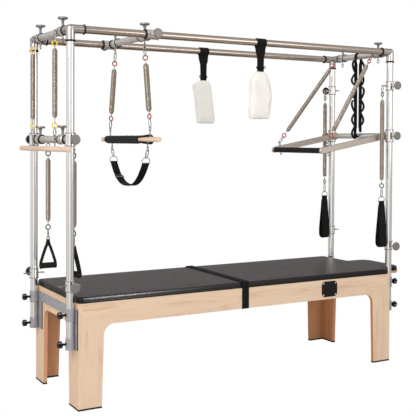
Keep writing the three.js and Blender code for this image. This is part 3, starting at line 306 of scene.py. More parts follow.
def piece(name, shapes, material, body, stands_for=(), sharp_angle=35):
    """Makes one object of several shapes, rides it on its body and hides what it stands for."""
    points, faces = [], []
    for shape_points, shape_faces in shapes:
        base = len(points)
        points += [tuple(point) for point in shape_points]
        faces += [[base + corner for corner in face] for face in shape_faces]
    mesh = bpy.data.meshes.new(name)
    mesh.from_pydata(points, [], faces)
    skin = bmesh.new()
    skin.from_mesh(mesh)
    bmesh.ops.recalc_face_normals(skin, faces=skin.faces)
    skin.to_mesh(mesh)
    skin.free()
    mesh.shade_smooth()
    mesh.set_sharp_from_angle(angle=math.radians(sharp_angle))
    mesh.materials.append(material)
    obj = bpy.data.objects.new(name, mesh)
    scene.collection.objects.link(obj)
    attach(obj, body)
    if stands_for:
        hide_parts(*stands_for)
    return obj


def stack(rows, ends=True):
    """Joins rows of equally many points, each row a closed loop, and caps both ends."""
    count = len(rows[0])
    points = [point for row in rows for point in row]
    faces = []
    for i in range(len(rows) - 1):
        for k in range(count):
            a, b = i * count + k, i * count + (k + 1) % count
            faces.append([a, b, b + count, a + count])
    if ends:
        faces.append(list(range(count))[::-1])
        faces.append([len(points) - count + k for k in range(count)])
    return points, faces


ROOT = "table_and_canopy"
sole_height, sole_overlap, side_foot, end_foot = 0.010, 0.0006, 0.118, 0.148
rubber = grained("black_rubber", paint(19, 19, 19), 0.5, 0.7, 900.0, relief=(0.0002, 0.4),
                 Specular_IOR_Level=0.3)
soles = []
for end_name, end in (("left_end_panel", -1), ("right_end_panel", 1)):
    low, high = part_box(end_name)
    for rail_name, side in (("front_side_panel", -1), ("rear_side_panel", 1)):
        rail_low, rail_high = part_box(rail_name)
        rail_end = rail_low[0] if end < 0 else rail_high[0]
        for x_span, y_span in (((low[0], high[0]), (side * high[1], side * (high[1] - end_foot))),
                               ((rail_end, rail_end - end * side_foot), (rail_low[1], rail_high[1]))):
            (left, right), (near, far) = [(min(span) - sole_overlap, max(span) + sole_overlap)
                                          for span in (x_span, y_span)]
            soles.append(stack([[(left, near, z), (right, near, z), (right, far, z), (left, far, z)]
                                for z in (0.0, sole_height)]))
piece("leg_soles", soles, rubber, ROOT)


# Mattresses: two foam pads on boards, under tight black vinyl that is pulled round a rolled edge.
# Each is built as nested rounded outlines, with an elliptical roll at its upper edge and a crowned top.
def outline(half_x, half_y, corner, steps):
    """A rectangle with round corners about the origin, anticlockwise."""
    loop = []
    for turn_x, turn_y, start in ((1, 1, 0.0), (-1, 1, 0.5), (-1, -1, 1.0), (1, -1, 1.5)):
        for k in range(steps + 1):
            angle = math.pi * (start + 0.5 * k / steps)
            loop.append((turn_x * (half_x - corner) + corner * math.cos(angle),
                         turn_y * (half_y - corner) + corner * math.sin(angle)))
    return loop


def spread_outline(half_x, half_y, corner, steps, gap):
    """The same outline with points along its straight sides too, about one gap apart."""
    bare = outline(half_x, half_y, corner, steps)
    numbers = [max(1, round(2 * (half - corner) / gap)) for half in (half_x, half_y)]
    loop = []
    for i, (x, y) in enumerate(bare):
        loop.append((x, y))
        if i % (steps + 1) == steps:
            next_x, next_y = bare[(i + 1) % len(bare)]
            number = numbers[i // (steps + 1) % 2]
            loop += [(x + (next_x - x) * k / number, y + (next_y - y) * k / number) for k in range(1, number)]
    return loop


def pad_shape(low, high, corner, edge, fall, crown, bulge, seed):
    """A tight upholstered pad: flat under, bulging sides, a rolled upper edge and a crowned top."""
    half_x, half_y = (high[0] - low[0]) / 2, (high[1] - low[1]) / 2
    middle_x, middle_y = (high[0] + low[0]) / 2, (high[1] + low[1]) / 2
    tall = high[2] - low[2] - crown
    profile = [(0.004, 0.0), (0.0015, 0.002)]
    profile += [(-bulge * math.sin(math.pi * share), 0.002 + (tall - fall - 0.002) * share)
                for share in (0.25, 0.5, 0.75, 1.0)]
    profile += [(edge * (1 - math.cos(angle)), tall - fall + fall * math.sin(angle))
                for angle in (math.radians(d) for d in (12, 24, 36, 48, 60, 70, 80, 90))]
    limit = min(half_x, half_y) - 0.012
    profile += [(edge + step, None) for step in (0.012, 0.022, 0.036, 0.056, 0.085, 0.125, 0.18, 0.25, 0.32)
                if edge + step < limit] + [(limit, None)]
    dice = random.Random(seed)
    waves = [[dice.uniform(*span) for span in ((9, 26), (9, 26), (0, 6.3), (0.2, 1.0))] for _ in range(7)]
    base_loop = spread_outline(half_x, half_y, corner, 8, 0.03)
    rows = []
    for inset, rise in profile:
        row = []
        for bx, by in base_loop:
            flat_x = max(corner - half_x, min(half_x - corner, bx))
            flat_y = max(corner - half_y, min(half_y - corner, by))
            away_x, away_y = bx - flat_x, by - flat_y
            away = math.hypot(away_x, away_y) or 1.0
            if inset < corner:
                x, y = [flat + part / away * (corner - inset)
                        for flat, part in ((flat_x, away_x), (flat_y, away_y))]
            else:
                x = max(inset - half_x, min(half_x - inset, flat_x))
                y = max(inset - half_y, min(half_y - inset, flat_y))
            if rise is None:
                ripple = sum(size * math.sin(ax * x + ay * y + phase) for ax, ay, phase, size in waves)
                z = tall + crown * (1 - (x / half_x) ** 6) * (1 - (y / half_y) ** 4) + 0.0004 * ripple / 3
            else:
                z = rise
                from_corner = math.hypot(abs(bx) - half_x + corner, abs(by) - half_y + corner)
                pucker = max(0.0, 1 - from_corner / (2 * corner))
                fold = 0.0006 * pucker * math.sin(16 * math.atan2(away_y, away_x)) * (rise / tall)
                x, y = x + math.copysign(fold, x), y + math.copysign(fold, y)
            row.append((middle_x + x, middle_y + y, low[2] + z))
        rows.append(row)
    return stack(rows)


vinyl, tree, shader = finish("black_vinyl", paint(32, 28, 28), 0.3)
coordinates = node(tree, "TexCoord").outputs
vinyl_place = coordinates["Object"]
pebbles = node(tree, "TexVoronoi", {"Vector": vinyl_place, "Scale": 620.0}).outputs["Distance"]
creases = noise(tree, 26.0, 5.0, vinyl_place, Distortion=0.7)
# The top gets a lighter, warmer base and more shine, and the sides a near-black base: painted light on the top,
# painted shade on the sides.
facing_up = node(tree, "SeparateXYZ", {0: coordinates["Normal"]}).outputs["Z"]
on_top = spread(tree, facing_up, 0.35, 0.97)
lit_top_tone = ramp(tree, noise(tree, 5.0, 4.0, vinyl_place),
                [(0.3, paint(44, 29, 30)), (0.7, paint(55, 39, 39))])
tree.links.new(mix_colour(tree, on_top, paint(12, 11, 11), lit_top_tone), shader.inputs["Base Color"])
tree.links.new(spread(tree, on_top, 0.0, 1.0, 0.2, 0.36), shader.inputs["Specular IOR Level"])
vary_gloss(tree, shader, creases, 0.27, 0.44)
rough_skin(tree, shader, reckon(tree, "MULTIPLY_ADD", creases, 8.0, pebbles), 0.0003, 0.16)

mattress_corner, rolled_edge, edge_fall = 0.030, 0.013, 0.025
mattress_crown, mattress_bulge, mattress_rise = 0.0035, 0.001, 0.0075
for pad_name, seed in (("left_mattress", 3), ("right_mattress", 8)):
    low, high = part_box(pad_name)
    high = (high[0], high[1], high[2] + mattress_rise)
    cover = pad_shape(low, high, mattress_corner, rolled_edge, edge_fall, mattress_crown, mattress_bulge,
                      seed)
    pad = piece(f"{pad_name}_cover", [cover], vinyl, ROOT, [pad_name], 50)
    edge_lit.objects.link(pad)


# Strap over the joint of the mattresses: flat webbing that goes down both rails and turns in under them.
# It is one band of even thickness that follows the section of the bed.
def heading(path, i, closed):
    """The direction of a line at one of its points."""
    before = path[i - 1] if i or closed else path[i]
    after = path[(i + 1) % len(path)] if i + 1 < len(path) or closed else path[i]
    return (after - before).normalized()


def band(path, across, width, thickness, closed=False, rims=None):
    """A flat strap with rounded edges that follows a path. Its width lies across, and may vary."""
    path = [Vector(point) for point in path]
    flat = thickness / 2
    rows = []
    for i, point in enumerate(path):
        half = (width[i] if isinstance(width, list) else width) / 2
        inner, outer = rims or (min(flat, half), min(flat, half) * 0.35)
        face = [(-half + outer, flat * 0.8), (-half + inner, flat), (half - inner, flat),
                (half - outer, flat * 0.8)]
        section = [(-half, 0.0)] + face + [(half, 0.0)] + [(s, -t) for s, t in face[::-1]]
        along = heading(path, i, closed)
        side = Vector(across)
        side = (side - along * side.dot(along)).normalized()
        up = side.cross(along)
        rows.append([point + side * s + up * t for s, t in section])
    points, faces = stack(rows, ends=not closed)
    if closed:
        count = len(rows[0])
        last = len(points) - count
        faces += [[last + k, last + (k + 1) % count, (k + 1) % count, k] for k in range(count)]
    return points, faces


def round_path(corners, radius, steps=6):
    """A line of straight runs with a round bend at each corner between them."""
    corners = [Vector(corner) for corner in corners]
    path = [corners[0]]
    for before, corner, after in zip(corners, corners[1:], corners[2:]):
        back, onward = before - corner, after - corner
        reach = min(radius, back.length / 2, onward.length / 2)
        start, stop = corner + back.normalized() * reach, corner + onward.normalized() * reach
        for share in (k / steps for k in range(steps + 1)):
            path.append(start * (1 - share) ** 2 + corner * 2 * share * (1 - share) + stop * share ** 2)
    return path + [corners[-1]]


webbing_black, twill = paint(12, 12, 12), 1400.0
webbing, tree, shader = finish("black_webbing", webbing_black, 0.8, Sheen_Weight=0.06, Specular_IOR_Level=0.2,
                               Sheen_Tint=paint(120, 118, 115))
yarn_place = node(tree, "TexCoord").outputs["Object"]
ribs = node(tree, "TexWave", {"Vector": yarn_place, "Scale": twill / 6.3, "Distortion": 1.5, "Detail": 1.0},
            bands_direction="DIAGONAL")
yarn = reckon(tree, "MULTIPLY", ribs.outputs["Fac"], noise(tree, twill, 2.0, yarn_place))
yarn_light = tuple(1.9 * c for c in webbing_black[:3]) + (1.0,)
tree.links.new(ramp(tree, yarn, [(0.1, webbing_black), (0.7, yarn_light)]), shader.inputs["Base Color"])
rough_skin(tree, shader, yarn, 0.0006, 0.5)

strap_low, strap_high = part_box("mattress_strap")
strap_width, strap_thick, strap_tail, strap_ease = 0.050, 0.0022, 0.020, 0.012
strap_x, over = (strap_low[0] + strap_high[0]) / 2, strap_thick / 2
under_rail, on_top_z = strap_low[2] + over, strap_high[2] + mattress_rise - over
half_line = [(strap_high[1] - strap_tail, under_rail), (strap_high[1] - over, under_rail),
             (strap_high[1] - over, on_top_z)]
strap_line = round_path([(strap_x, -y, z) for y, z in half_line]
                        + [(strap_x, y, z) for y, z in half_line[::-1]], strap_ease)
joint_strap = piece("joint_strap", [band(strap_line, (1, 0, 0), strap_width, strap_thick)], webbing, ROOT,
                    ["mattress_strap"])


# Plate on the front rail: a black plate with round corners, held by four small screws.
# Its face is slightly raised inside a thin rim.
def crossways(way):
    """A direction and two more at right angles to it."""
    way = Vector(way).normalized()
    across = way.orthogonal().normalized()
    return way, across, way.cross(across)


def circle(centre, across, beside, radius, sides):
    return [centre + (across * math.cos(turn) + beside * math.sin(turn)) * radius
            for turn in (2 * math.pi * k / sides for k in range(sides))]


def turned(start, way, profile, sides=48, ring=False):
    """A lathe-turned solid from pairs of distance and radius. A ring's profile closes on itself."""
    way, across, beside = crossways(way)
    rows = [circle(Vector(start) + way * along, across, beside, radius, sides)
            for along, radius in profile + (profile[:1] if ring else [])]
    return stack(rows, ends=not ring)


plate_low, plate_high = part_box("rail_plate")
plate_half = ((plate_high[0] - plate_low[0]) / 2, (plate_high[2] - plate_low[2]) / 2)
plate_at = ((plate_high[0] + plate_low[0]) / 2, (plate_high[2] + plate_low[2]) / 2)
plate_corner, screw_inset, screw_radius = 0.027, 0.0145, 0.0046
back, front = plate_high[1], plate_low[1]
deep = back - front
plate_black = grained("satin_black", paint(11, 11, 12), 0.3, 0.46, 1200.0, Specular_IOR_Level=0.25)
plate_rows = []
for inset, y in ((0.0, back), (0.0, front + deep * 0.3), (0.0008, front + deep * 0.08), (0.002, front),
                 (0.0055, front), (0.0063, front + deep * 0.2), (0.0075, front + deep * 0.2),
                 (0.0083, front)):
    plate_loop = outline(plate_half[0] - inset, plate_half[1] - inset, max(plate_corner - inset, 0.002), 8)
    plate_rows.append([(plate_at[0] + x, y, plate_at[1] + z) for x, z in plate_loop])
piece("name_plate", [stack(plate_rows)], plate_black, ROOT, ["rail_plate"])
bright = grained("bright_steel", paint(150, 145, 141), 0.14, 0.3, 260.0, 3.0, 1.0)
screw_steel = grained("screw_steel", paint(225, 222, 218), 0.3, 0.5, 400.0, 2.0, 0.5)
screw_head = [(0.0, screw_radius), (0.0007, screw_radius), (0.0012, screw_radius * 0.7)]
piece("plate_screws", [turned((plate_at[0] + side_x * (plate_half[0] - screw_inset), front + 0.0005,
                               plate_at[1] + side_z * (plate_half[1] - screw_inset)),
                              (0, -1, 0), screw_head, 20)
                       for side_x in (-1, 1) for side_z in (-1, 1)], screw_steel, ROOT)


# Brackets: grey painted plates on the end panels, each with four split collars that clamp the posts.
# The imported plate stays, with eased edges and near-black painted shade on its sides that face front and back;
# each collar gets a sleeve and a star knob.
painted = grained("grey_paint", paint(158, 157, 162), 0.38, 0.52, 700.0, 3.0, 0.2, (0.0002, 0.3),
                  (9.0, 2.0, (0.3, paint(152, 151, 157)), (0.7, paint(163, 162, 167))), Coat_Weight=0.15)
plate_paint = painted.copy()
plate_paint.name = "plate_paint"
tree = plate_paint.node_tree
plate_colour = tree.nodes["Principled BSDF"].inputs["Base Color"]
# Faces turned to the front or back are painted near black: painted shade beside the collars.
facing_y = node(tree, "SeparateXYZ", {0: node(tree, "TexCoord").outputs["Normal"]}).outputs["Y"]
painted_shade_side = reckon(tree, "GREATER_THAN", reckon(tree, "ABSOLUTE", facing_y), 0.8)
tree.links.new(mix_colour(tree, painted_shade_side, plate_colour.links[0].from_socket, paint(34, 35, 38)), plate_colour)

post_low, post_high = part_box("front_left_post")
far_low, far_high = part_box("rear_right_post")
left_x, right_x = (post_low[0] + post_high[0]) / 2, (far_low[0] + far_high[0]) / 2
front_y = (post_low[1] + post_high[1]) / 2
rear_y = -front_y
sides = ((front_y, -1), (rear_y, 1))
tube_radius, tube_wall, clamp_radius = 0.02225, 0.0025, 0.0265
clamp_height, upper_clamp, knob_inset = 0.065, (0.503, 0.573), 0.011
star_radius, star_lobe, star_half, star_hub = 0.021, 0.0042, 0.0125, 0.009
star_black = grained("star_knob_black", paint(9, 9, 9), 0.42, 0.6, 700.0, Specular_IOR_Level=0.2)


def both_ends(length, end):
    """A lathe profile that is the same at both of its ends."""
    return end + [(length - along, radius) for along, radius in end[::-1]]


def star_knob(centre, way):
    """A five-lobed hand knob with rounded rims and a hub on its back."""
    way, across = Vector(way), Vector((0, 0, 1))
    beside = way.cross(across)
    rows = []
    for along, share in ((-star_half - 0.006, None), (-star_half - 0.001, None), (-star_half, 0.72),
                         (-star_half + 0.002, 0.92), (-star_half + 0.005, 1.0), (star_half - 0.005, 1.0),
                         (star_half - 0.002, 0.93), (star_half, 0.76), (star_half + 0.0006, 0.4)):
        row = []
        for turn in (2 * math.pi * k / 60 for k in range(60)):
            lobed = star_radius - star_lobe * (0.5 - 0.5 * math.cos(5 * turn)) ** 0.8
            radius = star_hub if share is None else lobed * share
            row.append(Vector(centre) + way * along
                       + (across * math.cos(turn) + beside * math.sin(turn)) * radius)
        rows.append(row)
    return stack(rows)


for side_name, axis_x, outward in (("left", left_x, -1), ("right", right_x, 1)):
    plate_node = f"{side_name}_bracket"
    dress(plate_node, plate_paint, 0.001, 2)
    low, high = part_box(plate_node)
    knob_x = low[0] + knob_inset if outward < 0 else high[0] - knob_inset
    knobs, sleeves = [], []
    for y in (front_y, rear_y):
        for foot_z, top_z in ((low[2], low[2] + clamp_height), upper_clamp):
            sleeve = both_ends(top_z - foot_z,
                               [(-0.0008, tube_radius + 0.0005), (-0.0008, clamp_radius - 0.0015),
                                (0.0008, clamp_radius)])
            sleeves.append(turned((axis_x, y, foot_z), (0, 0, 1), sleeve, 48, True))
            middle_z = (foot_z + top_z) / 2
            knobs.append(star_knob((knob_x, y, middle_z), (outward, 0, 0)))
            knobs.append(turned((axis_x + outward * 0.024, y, middle_z), (outward, 0, 0),
                                [(0.0, 0.010), (0.004, 0.010), (0.005, 0.0062), (0.034, 0.0062)], 24))
    piece(f"{side_name}_clamp_collars", sleeves, painted, ROOT)
    piece(f"{side_name}_star_knobs", knobs, star_black, ROOT)


# Extension leaf at the push-through end: a maple board with round corners and a thin vinyl pad on it.
# The board stays as packed; the pad is made as the mattresses are.
dress("extension_board",
      maple("maple_leaf", "Y", paint(214, 170, 130), paint(208, 162, 122), paint(198, 148, 108)), 0.0012)
leaf_corner, leaf_edge, leaf_crown, leaf_bulge = 0.080, 0.012, 0.004, 0.0012
leaf_cover = pad_shape(*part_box("extension_pad"), leaf_corner, leaf_edge, leaf_edge, leaf_crown, leaf_bulge, 5)
leaf_pad = piece("extension_pad_cover", [leaf_cover], vinyl, ROOT, ["extension_pad"], 50)


# Canopy: polished steel posts and two long tubes, with a corner piece of three short arms at each corner.
# Each tube is a fine hollow pipe; black rubber rings close the ends of the corner pieces.
def steel(name, colour, low_gloss, high_gloss):
    darker = tuple(0.97 * c for c in colour[:3]) + (1.0,)
    return grained(name, colour, low_gloss, high_gloss, 14.0, 5.0, 1.0, None,
                   (14.0, 5.0, (0.2, darker), (0.5, colour)), True)


post_steel = steel("post_steel", paint(232, 229, 226), 0.14, 0.2)
# The canopy tubes and corner pieces are tinted darker and browner than the posts: painted reflection of warm,
# dark surroundings overhead.
canopy_steel = steel("canopy_steel", paint(192, 178, 166), 0.19, 0.21)
corner_steel = steel("corner_steel", paint(198, 191, 185), 0.16, 0.2)
corner_radius, ring_radius, ring_width = 0.0252, 0.0292, 0.010
corner_back, corner_arms = 0.012, (0.074, 0.083, 0.062)


def hollow(start, way, length, inner, outer, ease, sides):
    """A ring or tube with a bore and eased outer edges."""
    return turned(start, way, both_ends(length, [(0.0, inner), (0.0, outer - ease), (ease, outer)]), sides,
                  True)


def pipe(start, stop, outer, wall=tube_wall):
    start, stop = Vector(start), Vector(stop)
    return hollow(start, stop - start, (stop - start).length, outer - wall, outer, 0.0008, 56)


def rubber_ring(centre, way, inner=tube_radius):
    """A black ring with a round outer face, slipped over a tube."""
    return hollow(Vector(centre) - Vector(way) * ring_width / 2, way, ring_width, inner, ring_radius, 0.0025,
                  48)


def swept(path, radius, sides=24, closed=False):
    """A round bar that follows a path."""
    path = [Vector(point) for point in path]
    normal = heading(path, 0, closed).orthogonal()
    rows = []
    for i, point in enumerate(path):
        along = heading(path, i, closed)
        normal = (normal - along * normal.dot(along)).normalized()
        rows.append(circle(point, normal, along.cross(normal), radius, sides))
    return stack(rows + rows[:1] if closed else rows, ends=not closed)


end_cap = [(0.0, 0.016), (0.0, tube_radius - 0.0012), (0.0012, tube_radius), (0.004, tube_radius),
           (0.005, 0.016)]
for post in ("front_left_post", "rear_left_post", "front_right_post", "rear_right_post"):
    low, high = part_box(post)
    x, y = (low[0] + high[0]) / 2, (low[1] + high[1]) / 2
    piece(f"{post}_tube", [pipe((x, y, low[2]), (x, y, high[2]), tube_radius)], post_steel, ROOT,
          [post])
    piece(f"{post}_end_cap", [turned((x, y, low[2] - 0.003), (0, 0, 1), end_cap)], rubber, ROOT)
canopy_low, canopy_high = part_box("front_canopy_tube")
canopy_z = (canopy_low[2] + canopy_high[2]) / 2
for tube, y in (("front_canopy_tube", front_y), ("rear_canopy_tube", rear_y)):
    piece(f"{tube}_pipe", [pipe((canopy_low[0], y, canopy_z), (canopy_high[0], y, canopy_z), tube_radius)],
          canopy_steel, ROOT, [tube])

dome = [(corner_radius * (1 - math.cos(a)), max(corner_radius * math.sin(a), 0.0002))
        for a in (math.pi * k / 20 for k in range(21))]
for name, x, along, y, side in (("front_left", left_x, -1, front_y, -1), ("rear_left", left_x, -1, rear_y, 1),
                                ("front_right", right_x, 1, front_y, -1),
                                ("rear_right", right_x, 1, rear_y, 1)):
    centre = Vector((x, y, canopy_z))
    shapes, rings = [turned(centre - Vector((0, 0, corner_radius)), (0, 0, 1), dome)], []
    for way, arm in zip(((-along, 0, 0), (0, -side, 0), (0, 0, -1)), corner_arms):
        length = arm + corner_back
        shapes.append(turned(centre - Vector(way) * corner_back, way,
                             [(0.0, corner_radius * 0.86), (0.004, corner_radius),
                              (length - 0.001, corner_radius), (length, corner_radius - 0.001)]))
        rings.append(rubber_ring(centre + Vector(way) * (arm + ring_width / 2), way))
    piece(f"{name}_corner", shapes, corner_steel, ROOT, [f"{name}_elbow"])
    piece(f"{name}_corner_rings", rings, rubber, ROOT)


# End bars and sliding carriage: cast grey cross tubes under the canopy, with a knob and eyes at each end.
# The tube has a thicker sleeve with a black ring at each end; the eyes are bent from steel wire.
cast = grained("cast_alloy", paint(222, 215, 210), 0.32, 0.46, 480.0, 4.0, 0.85, (0.0003, 0.4),
               (22.0, 3.0, (0.3, paint(213, 206, 201)), (0.7, paint(228, 222, 217))), True)
dark_alloy = grained("dark_alloy", paint(136, 132, 128), 0.34, 0.5, 520.0, 3.0, 0.6, (0.0002, 0.3))
knob_radius, knob_thick, knob_rim, sleeve_radius = 0.029, 0.0125, 0.0035, 0.0278
eye_radius, eye_wire, eye_stem = 0.011, 0.0027, 0.0038
cross_radius, cross_wall, cross_bore, neck_start = 0.0218, 0.003, 0.0205, 0.020
sleeve_inner, sleeve_outer, inner_ring_y, outer_ring_y = 0.165, 0.239, 0.172, 0.262
sleeve_knob_reach, eye_down, eye_outward = 0.080, 0.065, 0.047
end_half, end_fitting, carriage_half, carriage_fitting = 0.3007, 0.200, 0.300, 0.222
runner_radius, runner_half, lock_reach, lock_start = 0.0300, 0.040, 0.087, 0.028


def disc_knob(root, way, reach):
    """The grip of a hand screw: a flat disc with a rounded rim."""
    back, rim = reach - knob_thick, knob_rim
    return turned(root, way, [(back - 0.001, 0.011), (back, knob_radius - rim),
                              (back + rim * 0.3, knob_radius - rim * 0.3), (back + rim, knob_radius),
                              (reach - rim, knob_radius), (reach - rim * 0.3, knob_radius - rim * 0.3),
                              (reach, knob_radius - rim), (reach - 0.0008, knob_radius * 0.5)])


def shaded_disc_back(root, way, reach):
    """A near-black ring on the back of a disc, seen only from behind it: painted shade on the disc's unlit
    back.
    """
    back = reach - knob_thick
    return turned(root, way, [(back - 0.0022, 0.0112), (back - 0.0022, knob_radius - 0.0050),
                              (back - 0.0006, knob_radius - 0.0024), (back + 0.0012, knob_radius - 0.0024),
                              (back + 0.0012, 0.0112)], 48, True)


def knob_neck(root, way, reach, start):
    """The waisted neck between a disc and its sleeve."""
    back = reach - knob_thick
    return turned(root, way,
                  [(start, 0.0082), (start + 0.004, 0.0074), (back - 0.014, 0.0074), (back - 0.010, 0.0098),
                   (back - 0.004, 0.0108), (back - 0.001, 0.0100), (back + 0.001, 0.0080)], 32)


def torus(centre, axis, radius, wire, steps=40, sides=14):
    return swept(circle(Vector(centre), *crossways(axis)[1:], radius, steps), wire, sides, True)


def eye(root, way, reach, axis):
    """A screwed wire eye. The reach runs to the wire on its far side."""
    root, way = Vector(root), Vector(way).normalized()
    stem = reach - 2 * eye_radius
    return [torus(root + way * (reach - eye_radius), axis, eye_radius, eye_wire),
            turned(root, way, [(0.0, eye_stem), (stem - 0.004, eye_stem), (stem - 0.002, eye_stem * 1.5),
                               (stem + 0.0005, eye_stem * 1.5), (stem + 0.0015, eye_stem * 0.7)], 20)]


def cross_tube(name, x, z, half, knob_y, body, node_name, down_eyes, outward_eyes, ring_ys):
    """A cast cross tube along Y, with its sleeves, rings, knobs and eyes."""
    metal, rings, knobs, eyes = [pipe((x, -half, z), (x, half, z), cross_radius, cross_wall)], [], [], []
    sleeve = both_ends(sleeve_outer - sleeve_inner,
                       [(0.0, tube_radius - 0.001), (0.003, sleeve_radius - 0.003),
                        (0.008, sleeve_radius)])
    for side in (-1, 1):
        root = (x, side * knob_y, z)
        metal.append(turned((x, side * sleeve_inner, z), (0, side, 0), sleeve))
        rings += [rubber_ring((x, side * ring_y, z), (0, 1, 0), cross_bore) for ring_y in ring_ys]
        knobs += [shape(root, (0, 0, 1), sleeve_knob_reach, *more)
                  for shape, more in ((disc_knob, ()), (knob_neck, (neck_start,)))]
        if down_eyes:
            eyes += eye(root, (0, 0, -1), eye_down, (1, 0, 0))
        if outward_eyes:
            eyes += eye(root, (-1, 0, 0), eye_outward, (0, 0, 1))
    piece(f"{name}_casting", metal, cast, body, [node_name])
    piece(f"{name}_rings", rings, rubber, body)
    piece(f"{name}_knobs", knobs, dark_alloy, body)
    if eyes:
        piece(f"{name}_eyes", eyes, bright, body)


def runner(centre, way, outer, half):
    """A sleeve that slides on a tube, with a rolled lip at each end."""
    end = [(0.0, tube_radius + 0.0004), (0.0, outer - 0.0008), (0.0012, outer + 0.0006),
           (0.005, outer + 0.0006), (0.0062, outer - 0.0012)]
    return turned(Vector(centre) - Vector(way) * half, way, both_ends(2 * half, end), 56, True)


def edge_lines(centre, way, outer, half):
    """Two dark rings at the ends of a runner: painted shade on its rolled lips."""
    rim = both_ends(0.0032, [(0.0, outer - 0.001), (0.0, outer + 0.0010)])
    return [turned(Vector(centre) + Vector(way) * (end * (half - 0.0028) - 0.0016), way, rim, 48, True)
            for end in (-1, 1)]


def runner_pair(x, z, way, half):
    """A front and a rear runner with their locks: metal, discs, and dark rings of painted shade on the backs of
    the discs and at the runners' lips.
    """
    metal, discs, backs, rims = [], [], [], []
    for y, side in sides:
        middle, outward = (x, y, z), (0, side, 0)
        metal += [runner(middle, way, runner_radius, half),
                  knob_neck(middle, outward, lock_reach, lock_start)]
        discs.append(disc_knob(middle, outward, lock_reach))
        backs.append(shaded_disc_back(middle, outward, lock_reach))
        rims += edge_lines(middle, way, runner_radius, half)
    return metal, discs, backs, rims


for side_name, x in (("left", left_x), ("right", right_x)):
    cross_tube(f"{side_name}_end", x, canopy_z, end_half, end_fitting, ROOT, f"{side_name}_end_bar", True,
               True, (inner_ring_y,))
carriage_low, carriage_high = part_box("trapeze_carriage")
carriage_x = (carriage_low[0] + carriage_high[0]) / 2
cross_tube("carriage", carriage_x, canopy_z, carriage_half, carriage_fitting, "carriage", "trapeze_carriage",
           True, False, (inner_ring_y, outer_ring_y))
metal, discs, backs, rims = runner_pair(carriage_x, canopy_z, (1, 0, 0), runner_half)
piece("carriage_runners", metal, cast, "carriage")
piece("carriage_lock_knobs", discs, dark_alloy, "carriage")
piece("carriage_knob_backs", backs, rubber, "carriage")
piece("carriage_end_rings", [rubber_ring((carriage_x - runner_half - 0.005, y, canopy_z), (1, 0, 0),
                                         tube_radius + 0.0003) for y, side in sides],
      rubber, "carriage")


# Left crossbar: the same cast tube on two bright runners that slide on the left posts.
# Disc knobs lock the runners, and two eyes carry the springs of the handles.
crossbar_z, crossbar_half, crossbar_runner_half = 1.522, 0.297, 0.039
cross_tube("crossbar", left_x, crossbar_z, crossbar_half, end_fitting, "crossbar", "left_crossbar", False,
           False, (inner_ring_y - 0.004, outer_ring_y))
metal, discs, backs, rims = runner_pair(left_x, crossbar_z, (0, 0, 1), crossbar_runner_half)
piece("crossbar_runners", metal, post_steel, "crossbar")
piece("crossbar_runner_lip_shade", rims, dark_alloy, "crossbar")
piece("crossbar_lock_knobs", discs, dark_alloy, "crossbar")
piece("crossbar_knob_backs", backs, rubber, "crossbar")
handle_eye_y, corner_eye_reach, corner_eye_drop = 0.055, 0.0545, 0.0545
corner_way = Vector((37, 40, 0)).normalized()
corner_axis = Vector((left_x, front_y, crossbar_z))
corner_root = corner_axis - Vector((0, 0, corner_eye_drop))
corner_eye = [torus(corner_root + corner_way * (corner_eye_reach - eye_radius), (0, 0, 1), eye_radius,
                    eye_wire),
              swept([corner_axis + corner_way * 0.025 - Vector((0, 0, 0.015)),
                     corner_axis + corner_way * 0.028 - Vector((0, 0, 0.034)),
                     corner_root + corner_way * (corner_eye_reach - 2 * eye_radius)], eye_stem, 16)]
piece("crossbar_eyes",
      eye((left_x, handle_eye_y, crossbar_z), (0, 0, -1), eye_outward, (0, 1, 0)) + corner_eye,
      bright, "crossbar")


# Push-through bar: a bright crossbar between the right posts, and a flat satin frame that swings on it.
# The frame ends in a foam grip and carries wire eyes above and below its arms.
push_z, push_tube, push_runner_half, push_inset = 1.559, 0.0195, 0.044, 0.024
metal, discs, backs, rims = runner_pair(right_x, push_z, (0, 0, 1), push_runner_half)
push_cross = pipe((right_x, front_y + push_inset, push_z), (right_x, rear_y - push_inset, push_z), push_tube)
piece("push_bar_cross_tube", [push_cross] + metal, post_steel, ROOT, ["push_bar_crossbar"])
piece("push_bar_lock_knobs", discs + rims, dark_alloy, ROOT)
piece("push_bar_knob_backs", backs, rubber, ROOT)

grip_run, grip_fall, arm_y = 0.553, 0.103, 0.284
arm_thick, arm_depth, hub_radius = 0.018, 0.042, 0.028
arm_length = math.hypot(grip_run, grip_fall)
arm_way = Vector((-grip_run, 0, -grip_fall)).normalized()
arm_up = Vector((arm_way.z, 0, -arm_way.x))
hub_at = Vector((right_x, 0, push_z))
grip_at = hub_at + arm_way * arm_length
eye_along = 0.502 * arm_length / grip_run
push_eye_reach = arm_depth / 2 + 2 * eye_radius + eye_wire
# The frame's steel is tinted brownish: painted reflection of warm surroundings.
satin = grained("satin_steel", paint(192, 179, 168), 0.28, 0.42, 350.0, 2.0, 0.8, (0.0001, 0.3), placed=True)


def flat_arm(y):
    """One arm: a flat bar with rounded edges and a round end at the grip."""
    half = arm_depth / 2
    loop = [(-0.006, half), (-0.006, -half)]
    loop += [(arm_length + half * math.sin(a), -half * math.cos(a))
             for a in (math.pi * k / 10 for k in range(11))]
    rows = []
    for across, inset in ((-0.5, 0.003), (-0.38, 0.0008), (-0.3, 0.0), (0.3, 0.0), (0.38, 0.0008),
                          (0.5, 0.003)):
        size = 1.0 - inset / half
        rows.append([hub_at + Vector((0, y + across * arm_thick, 0)) + arm_up * rise * size
                     + arm_way * (arm_length + (along - arm_length) * (size if along > arm_length else 1.0))
                     for along, rise in loop])
    return stack(rows)


